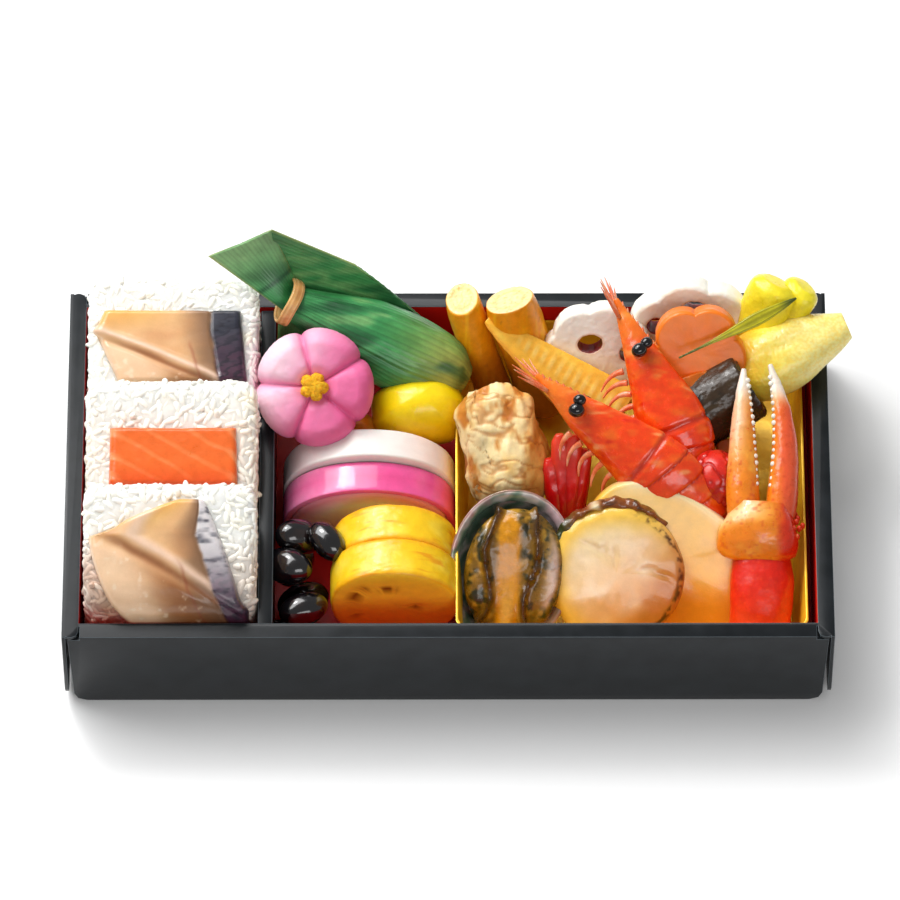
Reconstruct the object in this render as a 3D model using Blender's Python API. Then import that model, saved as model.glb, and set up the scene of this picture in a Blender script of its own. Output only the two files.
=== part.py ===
"""A packed festive bento: folded two-tone tray, divider, gold liner and every piece of food in it.

Lengths below are millimetres, and the finished meshes are scaled to metres last of all. The frame has
+X to the right of the eater, +Y away from the eater and +Z up, with the origin under the middle of the tray.
"""

import math

import bmesh
import bpy
from mathutils import Euler, Matrix, Vector
from mathutils.bvhtree import BVHTree

MM = 0.001

# Driving dimensions of the pack.
TRAY_WIDTH = 240.0
TRAY_DEPTH = 129.0
TRAY_HEIGHT = 37.0
RIM = 5.2
SHEET = 1.2
FLOOR = 2.0
SEAM = 0.4
GAP = 0.5
CLOSE_GAP = 0.08

INNER_X = TRAY_WIDTH / 2 - RIM
INNER_Y = TRAY_DEPTH / 2 - RIM
BED = FLOOR + 0.4

DIVIDER_X = -56.9
DIVIDER_WIDTH = 4.6
DIVIDER_TOP = 35.6

LINER_LEFT = 2.4
LINER_RIGHT = 112.2
LINER_TOP = 30.0
LINER_DRAFT = 3.2
LINER_SHEET = 0.7

TIE_STEPS = 12
EGG_SIDES = 14

# The pieces face the eater's eye at this tilt from level.
FACE_TILT = 33.0

SUSHI_LEFT = -113.2
SUSHI_WIDTH = 53.4
SUSHI_FRONTS = {"front": -54.4, "middle": -18.9, "back": 19.8}
SUSHI_REARS = {"front": -19.5, "middle": 19.2, "back": 58.7}
SUSHI_FRONT_TOP = {"front": 45.5, "middle": 46.0, "back": 46.0}
SUSHI_REAR_TOP = {"front": 58.2, "middle": 58.0, "back": 56.2}

COLOURS = {
    "board": (0.035, 0.042, 0.048),
    "gold_foil": (0.80, 0.55, 0.12),
    "rice": (0.92, 0.91, 0.86),
    "mackerel": (0.74, 0.50, 0.30),
    "salmon": (0.95, 0.36, 0.10),
    "bamboo_leaf": (0.15, 0.42, 0.18),
    "leaf_tie": (0.82, 0.50, 0.24),
    "pink_sweet": (0.93, 0.38, 0.60),
    "yolk_paste": (0.98, 0.62, 0.05),
    "chestnut": (0.90, 0.74, 0.05),
    "white_fishcake": (0.93, 0.88, 0.84),
    "pink_fishcake": (0.88, 0.16, 0.44),
    "rolled_egg": (0.97, 0.64, 0.04),
    "black_bean": (0.02, 0.02, 0.025),
    "burdock": (0.90, 0.60, 0.14),
    "bamboo_shoot": (0.95, 0.62, 0.18),
    "fried_curd": (0.86, 0.62, 0.30),
    "red_pickle": (0.86, 0.09, 0.05),
    "shrimp": (0.90, 0.25, 0.09),
    "lotus_root": (0.95, 0.90, 0.80),
    "carrot": (0.94, 0.38, 0.08),
    "herring_roe": (0.93, 0.80, 0.35),
    "yellow_roe": (0.90, 0.84, 0.18),
    "green_blade": (0.35, 0.50, 0.08),
    "kelp": (0.13, 0.12, 0.06),
    "simmered": (0.76, 0.46, 0.16),
    "plum": (0.82, 0.09, 0.04),
    "crab": (0.90, 0.42, 0.14),
    "crab_arm": (0.86, 0.18, 0.06),
    "abalone_shell": (0.52, 0.50, 0.48),
    "abalone": (0.50, 0.36, 0.14),
    "scallop": (0.86, 0.70, 0.50),
    "scallop_frill": (0.56, 0.38, 0.16),
    "fish_slice": (0.95, 0.74, 0.42),
}


def clear_scene():
    for thing in list(bpy.data.objects):
        bpy.data.objects.remove(thing, do_unlink=True)


def finish_of(name):
    material = bpy.data.materials.get(name)
    if material:
        return material
    material = bpy.data.materials.new(name)
    material.use_nodes = True
    shader = material.node_tree.nodes["Principled BSDF"]
    shader.inputs["Base Color"].default_value = (*COLOURS[name], 1.0)
    shader.inputs["Roughness"].default_value = 0.4
    shader.inputs["Metallic"].default_value = 0.8 if name == "gold_foil" else 0.0
    return material


def pose(x, y, z, turn=(0.0, 0.0, 0.0)):
    """Where a piece lies: its place in millimetres and its turns about X, Y and Z in degrees."""
    angles = Euler([math.radians(a) for a in turn], "XYZ")
    return Matrix.Translation((x, y, z)) @ angles.to_matrix().to_4x4()


def facing(x, y, z, roll=0.0, tilt=FACE_TILT, swing=0.0):
    """Local +Z looks at the eater's eye, local +Y runs up the piece, and roll turns it in its own plane."""
    spin = Matrix.Rotation(math.radians(roll), 4, "Z")
    return pose(x, y, z, (tilt, 0.0, swing)) @ spin


# ---------------------------------------------------------------- mesh building


def add_object(name, bm, material, place=None, smooth=True):
    if place is not None:
        bm.transform(place)
    # Split now, so that a warped four-sided face means the same surface to every cut.
    bmesh.ops.triangulate(bm, faces=bm.faces)
    bmesh.ops.recalc_face_normals(bm, faces=bm.faces)
    mesh = bpy.data.meshes.new(name)
    bm.to_mesh(mesh)
    bm.free()
    if smooth:
        mesh.shade_smooth()
        mesh.set_sharp_from_angle(angle=math.radians(40))
    mesh.materials.append(finish_of(material))
    thing = bpy.data.objects.new(name, mesh)
    bpy.context.scene.collection.objects.link(thing)
    return thing


def loft(rings):
    """A closed surface through rings of equal count, with a fan over each end."""
    bm = bmesh.new()
    loops = [[bm.verts.new(p) for p in ring] for ring in rings]
    count = len(loops[0])
    for low, high in zip(loops, loops[1:]):
        for i in range(count):
            j = (i + 1) % count
            bm.faces.new((low[i], low[j], high[j], high[i]))
    for loop in (loops[0], loops[-1]):
        hub = bm.verts.new(sum((v.co for v in loop), Vector()) / count)
        for i in range(count):
            bm.faces.new((loop[i], loop[(i + 1) % count], hub))
    return bm


def oval(half_x, half_y, count=12, power=2.0):
    """Points of a rounded outline: power 2 is an ellipse, more is squarer."""
    points = []
    for i in range(count):
        a = math.tau * i / count
        c, s = math.cos(a), math.sin(a)
        x = half_x * math.copysign(abs(c) ** (2 / power), c)
        y = half_y * math.copysign(abs(s) ** (2 / power), s)
        points.append((x, y))
    return points


def petals(radius, count, depth, per_petal=4, power=0.7):
    """Outline of a flower: lobes that meet in notches of the given depth."""
    points = []
    for i in range(count * per_petal):
        a = math.tau * i / (count * per_petal)
        lobe = abs(math.sin(a * count / 2)) ** power
        r = radius * (1 - depth * (1 - lobe))
        points.append((r * math.sin(a), r * math.cos(a)))
    return points


def stack(outline, levels):
    """Loft of one flat outline through (scale, height) levels."""
    return loft([[Vector((x * k, y * k, h)) for x, y in outline] for k, h in levels])


def dome_levels(thickness, edge, steps=3, low=0.0):
    """Levels of a slab whose rim is rounded by edge (a share of its radius) top and bottom."""
    levels = []
    for i in range(steps + 1):
        a = math.pi / 2 * i / steps
        levels.append((1 - edge + edge * math.sin(a), low + thickness / 2 * (1 - math.cos(a))))
    top = [(k, 2 * low + thickness - h) for k, h in reversed(levels)]
    return levels + top[1:]


def blob(radii, count=12, rings=7, power=2.0, bumps=None):
    """A closed ovoid; bumps(direction) scales it point by point."""
    ring_list = []
    for i in range(rings):
        v = math.pi * (i + 0.5) / rings
        ring = []
        for x, y in oval(1.0, 1.0, count, power):
            p = Vector((x * math.sin(v), y * math.sin(v), -math.cos(v)))
            swell = bumps(p) if bumps else 1.0
            ring.append(Vector((p.x * radii[0], p.y * radii[1], p.z * radii[2])) * swell)
        ring_list.append(ring)
    return loft(ring_list)


def along(points, sections, up=(0.0, 0.0, 1.0)):
    """Loft of sections set square to a path; section x runs to the path's side and y runs up."""
    path = [Vector(p) for p in points]
    up = Vector(up)
    rings = []
    for i, p in enumerate(path):
        run = (path[min(i + 1, len(path) - 1)] - path[max(i - 1, 0)]).normalized()
        side = run.cross(up).normalized()
        rise = side.cross(run)
        rings.append([p + side * x + rise * y for x, y in sections[i]])
    return loft(rings)


def bend(a, b, c, steps):
    """Points of a smooth bend that leaves a, leans to b and ends at c."""
    a, b, c = Vector(a), Vector(b), Vector(c)
    points = []
    for i in range(steps + 1):
        t = i / steps
        points.append(a * (1 - t) ** 2 + b * 2 * t * (1 - t) + c * t * t)
    return points


def box_mesh(low, high):
    bm = bmesh.new()
    bmesh.ops.create_cube(bm, size=1.0)
    low, high = Vector(low), Vector(high)
    size = high - low
    bm.transform(Matrix.Translation((low + high) / 2) @ Matrix.Diagonal((*size, 1.0)))
    return bm


def rounded_plate(width, height, radius, steps=3, corners=(True, True, True, True)):
    """Outline of a plate centred on the origin; corners runs anticlockwise from lower left."""
    points = []
    spots = [(-1, -1, 180), (1, -1, 270), (1, 1, 0), (-1, 1, 90)]
    for (sx, sy, begin), soft in zip(spots, corners):
        r = radius if soft else 0.0
        cx, cy = sx * (width / 2 - r), sy * (height / 2 - r)
        for i in range(steps + 1 if soft else 1):
            a = math.radians(begin + 90 * i / steps)
            points.append((cx + r * math.cos(a), cy + r * math.sin(a)))
    return points


# ---------------------------------------------------------------- Booleans between pieces


def applied_boolean(piece, other, operation):
    tool = piece.modifiers.new("tool", "BOOLEAN")
    tool.operation = operation
    tool.object = other
    # The exact solver leaves open edges where folds share a plane; this one keeps every piece closed.
    tool.solver = "MANIFOLD"
    bpy.context.view_layer.update()
    graph = bpy.context.evaluated_depsgraph_get()
    mesh = bpy.data.meshes.new_from_object(piece.evaluated_get(graph))
    piece.modifiers.clear()
    mesh.name = piece.name
    piece.data = mesh


def join_into(piece, extra):
    """Welds another closed shape onto the piece and drops the shape."""
    applied_boolean(piece, extra, "UNION")
    bpy.data.objects.remove(extra, do_unlink=True)


def take_from(piece, cutter):
    applied_boolean(piece, cutter, "DIFFERENCE")
    bpy.data.objects.remove(cutter, do_unlink=True)


def swollen(piece, proud):
    """A copy of the piece that stands proud of it by the given length."""
    copy = piece.copy()
    copy.data = piece.data.copy()
    bpy.context.scene.collection.objects.link(copy)
    bm = bmesh.new()
    bm.from_mesh(copy.data)
    bmesh.ops.recalc_face_normals(bm, faces=bm.faces)
    bm.normal_update()
    moves = [(v, v.normal * proud) for v in bm.verts]
    for v, move in moves:
        v.co += move
    bm.to_mesh(copy.data)
    bm.free()
    return copy


def tree_of(piece):
    mesh = piece.data
    return BVHTree.FromPolygons([v.co for v in mesh.vertices], [p.vertices for p in mesh.polygons])


def keep_largest(piece):
    """Drops crumbs that a contact cut may leave beside the main body."""
    bm = bmesh.new()
    bm.from_mesh(piece.data)
    left = set(bm.verts)
    groups = []
    while left:
        group = {left.pop()}
        edge = list(group)
        while edge:
            v = edge.pop()
            near = {e.other_vert(v) for e in v.link_edges} & left
            left -= near
            group |= near
            edge.extend(near)
        groups.append(group)
    groups.sort(key=len)
    for group in groups[:-1]:
        bmesh.ops.delete(bm, geom=list(group), context="VERTS")
    bm.to_mesh(piece.data)
    bm.free()


def to_metres(pieces):
    for piece in pieces:
        piece.data.transform(Matrix.Scale(MM, 4))


def settle(pieces):
    """Each piece gives way where it presses on one earlier in the list."""
    for place, piece in enumerate(pieces):
        for firm in pieces[:place]:
            # The second, closer cut takes the slivers that a swollen notch leaves.
            for proud in (GAP, CLOSE_GAP):
                cutter = swollen(firm, proud)
                if tree_of(piece).overlap(tree_of(cutter)):
                    take_from(piece, cutter)
                    keep_largest(piece)
                else:
                    bpy.data.objects.remove(cutter, do_unlink=True)


# ---------------------------------------------------------------- tray, divider and liner


def make_tray():
    """One sheet folded into double walls: inner wall, rim and an outer panel slit at the corners."""
    half_x, half_y = TRAY_WIDTH / 2, TRAY_DEPTH / 2
    top = TRAY_HEIGHT
    floor = box_mesh((-INNER_X - SHEET, -INNER_Y - SHEET, 0), (INNER_X + SHEET, INNER_Y + SHEET, FLOOR))
    tray = add_object("tray", floor, "board", smooth=False)
    shapes = []
    for side in (-1, 1):
        rim = rounded_plate(RIM, TRAY_DEPTH, 2.2, 2)
        rim_bm = stack(rim, [(1.0, top - SHEET), (1.0, top)])
        rim_bm.transform(Matrix.Translation((side * (half_x - RIM / 2), 0, 0)))
        shapes.append(rim_bm)
        panel = rounded_plate(TRAY_DEPTH - 0.2, top - 1.5, 5.0, 2, corners=(True, True, False, False))
        panel_bm = stack(panel, [(1.0, -SHEET / 2), (1.0, SHEET / 2)])
        upright = Matrix.Rotation(math.radians(90), 4, "Z") @ Matrix.Rotation(math.radians(90), 4, "X")
        lift = Matrix.Translation((side * (half_x - SHEET / 2), 0, (top + 1.5) / 2))
        panel_bm.transform(lift @ upright)
        shapes.append(panel_bm)
        low, high = sorted((side * INNER_X, side * (INNER_X + SHEET)))
        shapes.append(box_mesh((low, -INNER_Y - SHEET, 0), (high, INNER_Y + SHEET, top)))
    for side in (-1, 1):
        reach = INNER_X - SEAM
        low, high = sorted((side * half_y, side * INNER_Y))
        shapes.append(box_mesh((-reach, low, top - SHEET), (reach, high, top)))
        low, high = sorted((side * INNER_Y, side * (INNER_Y + SHEET)))
        shapes.append(box_mesh((-INNER_X, low, 0), (INNER_X, high, top)))
        shapes.append(front_panel(side, half_x - SHEET - 0.6, half_y))
    for bm in shapes:
        join_into(tray, add_object("flap", bm, "board", smooth=False))
    return tray


def front_panel(side, reach, half_y):
    """The outer panel below a front or back rim: it narrows to its round lower corners."""
    taper, corner, shoulder = 1.0, 4.0, TRAY_HEIGHT - SHEET - SEAM
    outline = [(-reach, shoulder)]
    for i in range(3):
        a = math.radians(180 + 45 * i)
        outline.append((-reach + taper + corner + corner * math.cos(a), corner + corner * math.sin(a)))
    outline += [(-x, z) for x, z in reversed(outline)]
    outline += [(INNER_X - SEAM, shoulder), (INNER_X - SEAM, TRAY_HEIGHT)]
    outline += [(SEAM - INNER_X, TRAY_HEIGHT), (SEAM - INNER_X, shoulder)]
    ys = sorted((side * half_y, side * (half_y - SHEET)))
    bm = bmesh.new()
    face = bm.faces.new([bm.verts.new((x, ys[0], z)) for x, z in outline])
    grown = bmesh.ops.extrude_face_region(bm, geom=[face])
    moved = [v for v in grown["geom"] if isinstance(v, bmesh.types.BMVert)]
    bmesh.ops.translate(bm, verts=moved, vec=(0, ys[1] - ys[0], 0))
    return bm


def make_divider():
    """A narrow folded strip that stands across the tray, open below."""
    half, top, depth = DIVIDER_WIDTH / 2, DIVIDER_TOP, INNER_Y - 0.4
    profile = [(-half, BED), (-half, top), (half, top), (half, BED)]
    profile += [(half - SHEET, BED), (half - SHEET, top - SHEET)]
    profile += [(SHEET - half, top - SHEET), (SHEET - half, BED)]
    bm = bmesh.new()
    face = bm.faces.new([bm.verts.new((DIVIDER_X + x, -depth, z)) for x, z in profile])
    grown = bmesh.ops.extrude_face_region(bm, geom=[face])
    moved = [v for v in grown["geom"] if isinstance(v, bmesh.types.BMVert)]
    bmesh.ops.translate(bm, verts=moved, vec=(0, 2 * depth, 0))
    return add_object("divider", bm, "board", smooth=False)


def make_liner():
    """Open thin-walled tray in the right-hand compartment, wider at its top."""
    middle = (LINER_LEFT + LINER_RIGHT) / 2
    half_x, half_y = (LINER_RIGHT - LINER_LEFT) / 2, INNER_Y - 0.4
    bed = BED + LINER_SHEET
    levels = [(LINER_DRAFT, BED), (0.0, LINER_TOP), (LINER_SHEET, LINER_TOP), (LINER_DRAFT + LINER_SHEET, bed)]
    rings = []
    for inset, z in levels:
        outline = rounded_plate(2 * (half_x - inset), 2 * (half_y - inset), 5.0, 2)
        rings.append([Vector((middle + x, y, z)) for x, y in outline])
    return add_object("gold_liner", loft(rings), "gold_foil", smooth=False)


# ---------------------------------------------------------------- pressed sushi


def block_section(where, inset=0.0):
    """Side view of a rice block as (y, z) points from its lower front corner, anticlockwise."""
    front, rear = SUSHI_FRONTS[where] + inset, SUSHI_REARS[where] - inset
    low = BED + inset
    corners = [
        (front, low, 2.0, 180, 1),
        (rear, low, 2.0, 270, 1),
        (rear, SUSHI_REAR_TOP[where] - inset, 3.4, 0, 2),
        (front, SUSHI_FRONT_TOP[where] - inset, 8.0, 90, 3),
    ]
    slope = math.degrees(math.atan2(SUSHI_REAR_TOP[where] - SUSHI_FRONT_TOP[where], rear - front))
    points = []
    for y, z, r, begin, steps in corners:
        cy = y + r if begin in (180, 90) else y - r
        cz = z + r if begin in (180, 270) else z - r * (1.15 if begin == 0 else 0.85)
        end = begin + 90
        first = begin
        if begin == 0:
            end += slope
        if begin == 90:
            first += slope
        for i in range(steps + 1):
            a = math.radians(first + (end - first) * i / steps)
            points.append((cy + r * math.cos(a), cz + r * math.sin(a)))
    return points


def make_rice(where):
    ends = [(0.0, 3.0), (1.2, 1.0), (4.0, 0.0)]
    steps = ends + [(SUSHI_WIDTH - x, inset) for x, inset in reversed(ends)]
    rings = []
    for x, inset in steps:
        ring = block_section(where, inset)
        rings.append([Vector((SUSHI_LEFT + x, y, z)) for y, z in ring])
    return add_object(f"rice_{where}", loft(rings), "rice")


def drape_line(where, lift, begin, length, steps):
    """Points down the top of a rice block, lift above it, from begin behind the rear edge towards the front."""
    section = [Vector((0.0, y, z)) for y, z in block_section(where)]
    top = section[6:] + section[:1]
    line = []
    for i, p in enumerate(top):
        before, after = top[max(i - 1, 0)], top[min(i + 1, len(top) - 1)]
        run = (after - before).normalized()
        line.append(p + Vector((0.0, -run.z, run.y)) * -lift)
    points = []
    for k in range(steps + 1):
        want = begin + length * k / steps
        for a, b in zip(line, line[1:]):
            span = (b - a).length
            if want <= span or b is line[-1]:
                points.append(a + (b - a) * (want / span))
                break
            want -= span
    return points


def make_topping(name, where, material, begin, length, sides, thick, steps=6, across=6):
    """A slice laid over a rice block; sides(t) gives its left and right edge at each step down it."""
    under = drape_line(where, GAP, begin, length, steps)
    over = drape_line(where, GAP + thick, begin, length, steps)
    rings = []
    for k in range(steps + 1):
        t = k / steps
        left, right = sides(t)
        thin = 0.45 if k in (0, steps) else 1.0
        ring = []
        for j in range(across + 1):
            s = j / across
            crown = thin * (1 - 0.75 * abs(2 * s - 1) ** 4)
            p = under[k].lerp(over[k], crown)
            ring.append(Vector((left + (right - left) * s, p.y, p.z)))
        for j in range(across, -1, -1):
            ring.append(Vector((left + (right - left) * j / across, under[k].y, under[k].z)))
        rings.append(ring)
    return add_object(name, loft(rings), material)


def make_sushi():
    rice = [make_rice(where) for where in ("front", "middle", "back")]
    left = SUSHI_LEFT

    def front_sides(t):
        tip = 3.4 * abs(t - 0.22) if t < 0.22 else 22.0 * (t - 0.22) ** 1.3
        return left + 1.6 + tip * 1.2, left + 40.5 + 12.0 * t ** 0.8

    def back_sides(t):
        tip = 9.0 * (0.3 - t) if t < 0.3 else 11.0 * (t - 0.3)
        return left + 2.2 + tip, left + 48.0 + 2.2 * t

    def salmon_sides(t):
        return left + 7.6 - 0.3 * t, left + 47.0 + 0.5 * t

    toppings = [
        make_topping("mackerel_front", "front", "mackerel", 2.4, 44.4, front_sides, 3.6, steps=8, across=5),
        make_topping("salmon", "middle", "salmon", 13.0, 18.5, salmon_sides, 2.6, steps=4, across=5),
        make_topping("mackerel_back", "back", "mackerel", 8.5, 24.0, back_sides, 3.6, across=5),
    ]
    return toppings, rice


# ---------------------------------------------------------------- middle compartment


def make_leaf_parcel():
    """A leaf folded round its filling: a broad roll, a stiff rear fold and a tip bent over at the tie."""
    neck, toe = Vector((-50.5, 50.0, 54.0)), Vector((3.8, 35.6, 28.6))
    path, sections = [], []
    for t, wide, high in (
        (0.0, 5.0, 4.6), (0.16, 7.2, 6.2), (0.42, 11.6, 9.2), (0.72, 13.0, 11.2),
        (0.92, 10.4, 10.4), (1.0, 6.0, 7.0),
    ):
        path.append(neck.lerp(toe, t) + Vector((0, 0, 2.0 * math.sin(math.pi * t))))
        sections.append([(x, y + 0.18 * high * (1 - abs(x) / wide)) for x, y in oval(wide, high, 9, 2.2)])
    leaf = add_object("leaf_parcel", along(path, sections), "bamboo_leaf")
    peak, tip = Vector((-55.4, 62.0, 76.5)), Vector((-75.5, 61.0, 63.0))
    rear = [neck + Vector((-2, 5, -2)), peak, Vector((-30, 59.0, 62.0)), Vector((-3.0, 50.0, 36.0))]
    bent = [neck + Vector((-1, -4, 0)), neck + Vector((4, 5, -1)), peak + Vector((0.3, 0.6, -1)), tip]
    tail = [neck + Vector((-3, -5, -4)), neck + Vector((7, -3, -3)), Vector((-45, 40, 41)), Vector((-53.9, 42, 42))]
    for bm in (leaf_fold(rear, 1.6), leaf_fold(bent, 2.2), leaf_fold(tail, 2.0)):
        join_into(leaf, add_object("fold", bm, "bamboo_leaf"))
    return leaf


def leaf_fold(corners, thick):
    """A stiff four-cornered fold of leaf, bowed a little out of its plane."""
    a, b, c, d = corners
    normal = ((c - a).cross(d - b)).normalized()
    rings = []
    for t in (0.0, 0.5, 1.0):
        low, high = a.lerp(d, t), b.lerp(c, t)
        ring = []
        for s in (0.0, 0.5, 1.0):
            bow = 1.2 * math.sin(math.pi * s)
            ring.append(low.lerp(high, s) + normal * (bow + thick / 2))
        for s in (1.0, 0.5, 0.0):
            bow = 1.2 * math.sin(math.pi * s)
            ring.append(low.lerp(high, s) + normal * (bow - thick / 2))
        rings.append(ring)
    return loft(rings)


def make_tie():
    """The flat band pulled tight round the leaf's neck."""
    centre = Vector((-50.0, 49.8, 53.8))
    run = Vector((-0.87, 0.20, 0.40)).normalized()
    side = run.cross(Vector((0, 0, 1))).normalized()
    rise = side.cross(run)
    rings, bm = [], bmesh.new()
    for i in range(TIE_STEPS):
        a = math.tau * i / TIE_STEPS
        out = side * math.cos(a) * 1.0 + rise * math.sin(a) * 0.95
        ring = [centre + out * r + run * w for r, w in ((6.6, -1.7), (7.8, -1.3), (7.8, 1.3), (6.6, 1.7))]
        rings.append([bm.verts.new(p) for p in ring])
    for i in range(TIE_STEPS):
        here, there = rings[i], rings[(i + 1) % TIE_STEPS]
        for k in range(4):
            bm.faces.new((here[k], here[(k + 1) % 4], there[(k + 1) % 4], there[k]))
    return add_object("leaf_tie", bm, "leaf_tie")


def make_sweet():
    """Five soft petals pinched to the middle round a dab of yolk paste."""
    radius, thick, count, per = 18.8, 15.0, 5, 4
    total = count * per
    rings = []
    for k, h, crease in (
        (0.60, 0.0, 0.0), (0.95, 3.2, 0.6), (1.0, 8.0, 1.0), (0.92, 12.4, 1.0),
        (0.72, 14.8, 1.0), (0.42, 14.8, 1.0), (0.16, 12.6, 0.6),
    ):
        ring = []
        for i in range(total):
            a = math.tau * i / total
            notch = (1 - abs(math.sin(a * count / 2))) ** 2.2
            r = radius * k * (1 - 0.07 * notch * crease)
            z = h * thick / 15.2 - 2.4 * notch * crease * min(k + 0.15, 1.0)
            ring.append(Vector((r * math.sin(a), r * math.cos(a), max(z, 0.0))))
        rings.append(ring)
    place = facing(-42.0, 26.9, 39.6, roll=14.0)
    sweet = add_object("plum_blossom_sweet", loft(rings), "pink_sweet", place)
    paste = stack(petals(4.3, 5, 0.3, 3), [(0.5, 12.9), (1.0, 13.4), (0.95, 15.0), (0.5, 16.4)])
    dab = add_object("sweet_centre", paste, "yolk_paste", place)
    return sweet, dab


def half_moon(width, height, count=10):
    """Outline of a fishcake: flat board side below, arched above, soft lower corners."""
    points = [(-width / 2 + 3, 0.0), (width / 2 - 3, 0.0), (width / 2 - 0.6, 2.2)]
    shoulder = height * 0.30
    for i in range(count + 1):
        a = math.pi * i / count
        points.append((width / 2 * math.cos(a), shoulder + (height - shoulder) * math.sin(a) ** 0.8))
    points.append((-width / 2 + 0.6, 2.2))
    return points


def make_fishcake():
    """Two slices of fishcake on edge: a white one behind, a pink-skinned one in front."""
    stand = pose(-24.9, 0.6, BED, (90, 0, 0))
    behind = stack(half_moon(54.6, 37.0), [(0.96, -11.0), (1.0, -10.2), (1.0, -1.6), (0.97, -0.9)])
    white = add_object("fishcake_behind", behind, "white_fishcake", stand)
    rings = []
    for k, h in ((0.975, -0.4), (1.0, 0.4), (1.0, 9.2), (0.975, 10.2)):
        rings.append([Vector((x * k, y, h)) for x, y in half_moon(54.6, 34.0)])
    front = add_object("fishcake_front", loft(rings), "white_fishcake", stand)
    core = stack(half_moon(50.6, 31.6), [(1.0, -2.0), (1.0, 12.0)])
    core_place = stand @ Matrix.Translation((0, -0.2, 0))
    skin = add_object("fishcake_skin", loft(rings), "pink_fishcake", stand)
    base = add_object("core", core, "white_fishcake", core_place)
    below = add_object("below", box_mesh((-60, -30, -6), (20, 30, BED + 9.0)), "white_fishcake")
    take_from(skin, base)
    take_from(skin, below)
    return white, front, skin


def make_rolled_egg():
    """Two slices of rolled omelette, face to face on their edges."""
    sizes = (
        ("rolled_egg_front", -44.6, 13.4, 20.0, 3.0),
        ("rolled_egg_rear", -30.6, 13.2, 19.2, -2.0),
    )
    slices = []
    for name, y, deep, radius, lean in sizes:
        outline = []
        for i in range(EGG_SIDES):
            a = math.tau * i / EGG_SIDES
            wave = 1 + 0.02 * math.cos(3 * a + 0.6)
            outline.append((radius * 1.01 * wave * math.sin(a), radius * wave * math.cos(a)))
        levels = [(0.93, 0.0), (1.0, 1.2), (1.0, deep - 1.2), (0.93, deep)]
        place = pose(-16.9, y, BED + radius * 1.02, (-90, lean, 0))
        slices.append(add_object(name, stack(outline, levels), "rolled_egg", place))
    return slices


def make_beans():
    spots = (
        (-46.6, -22.6, 29.5, 20, 35), (-37.6, -27.0, 33.5, -52, 8), (-50.2, -33.6, 29.8, -30, -20),
        (-45.2, -47.0, 25.5, 22, 5), (-48.0, -24.0, 14.5, 60, 0), (-45.5, -38.0, 16.0, 30, 10),
        (-41.0, -52.6, 13.0, 50, 0), (-52.0, -50.5, 13.0, -40, 12),
    )
    beans = []
    for i, (x, y, z, spin, dip) in enumerate(spots, 1):
        shape = blob((8.7, 6.3, 6.0), count=7, rings=4)
        place = pose(x, y, z, (0, dip, spin))
        beans.append(add_object(f"black_bean_{i}", shape, "black_bean", place))
    return beans


def make_chestnut():
    def facets(p):
        return 1 - 0.05 * abs(math.cos(4 * math.atan2(p.y, p.x)))

    shape = blob((15.6, 11.0, 14.8), count=9, rings=6, power=2.5, bumps=facets)
    return add_object("chestnut", shape, "chestnut", pose(-9.2, 25.2, 27.6, (12, 0, 4)))


def make_root_piece():
    """The simmered root that shows between the sweet and the chestnut."""
    shape = blob((7.5, 6.0, 15.0), count=8, rings=4, power=2.6)
    return add_object("simmered_root", shape, "simmered", pose(-29.0, 19.6, 18.5, (0, 0, 20)))


# ---------------------------------------------------------------- back of the right-hand compartment


def make_stick(name, top, foot, radius, slant):
    """A length of simmered burdock with a slanting cut at its top."""
    top, foot = Vector(top), Vector(foot)
    run = (top - foot).normalized()
    side = Vector((1, 0, 0)) - run * run.x
    side.normalize()
    rise = run.cross(side)
    rings = []
    for t, k in ((0.0, 0.86), (0.06, 1.0), (0.95, 1.0), (1.0, 0.94)):
        ring = []
        for x, y in oval(radius * k, radius * k, 10):
            lean = slant * y * t
            ring.append(foot.lerp(top, t) + side * x + rise * y + run * lean)
        rings.append(ring)
    return add_object(name, loft(rings), "burdock")


def make_sticks():
    return [
        make_stick("burdock_1", (4.4, 51.6, 52.6), (17.5, 35.5, 9.0), 5.5, 0.45),
        make_stick("burdock_2", (19.4, 50.6, 53.6), (32.0, 41.0, 9.0), 8.0, -0.25),
    ]


def make_bamboo_shoot():
    """A wedge cut lengthwise from a shoot: flat cut face, ridged back."""
    length = 52.0
    rings = []
    for i in range(10):
        t = i / 9
        ridge = 0.6 if i % 2 else 0.0
        wide = 2.6 + 20.0 * t ** 0.8
        deep = 3.2 + 8.4 * t ** 0.7
        low = -0.62 * wide
        x = length * t
        ring = [
            (x, low - ridge, 0.6), (x, low - 0.5 * ridge, deep * 0.5), (x, low * 0.5, deep + ridge),
            (x, wide * 0.15, deep + 0.6 + ridge), (x, wide * 0.36 + ridge, deep * 0.6),
            (x, wide * 0.38, 0.8), (x, 0.0, 0.0),
        ]
        rings.append([Vector((px, py, -pz)) for px, py, pz in ring])
    place = facing(12.6, 45.6, 50.6, roll=-35.0, tilt=26.0)
    return add_object("bamboo_shoot", loft(rings), "bamboo_shoot", place)


def make_curd_roll():
    """A lumpy roll of fried bean curd, slack at its upper end."""
    path = bend((13.0, 23.5, 41.5), (16.4, 9.0, 38.4), (22.6, -7.0, 22.0), 6)
    sections = []
    for i, r in enumerate((8.4, 12.4, 12.8, 13.4, 13.6, 12.2, 7.0)):
        ring = []
        for j, (x, y) in enumerate(oval(r, r * 0.94, 12)):
            lump = 1 + 0.05 * math.sin(2.3 * j + 1.7 * i) + 0.03 * math.sin(4.1 * j - i)
            ring.append((x * lump, y * lump))
        sections.append(ring)
    return add_object("fried_curd_roll", along(path, sections), "fried_curd")


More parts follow.
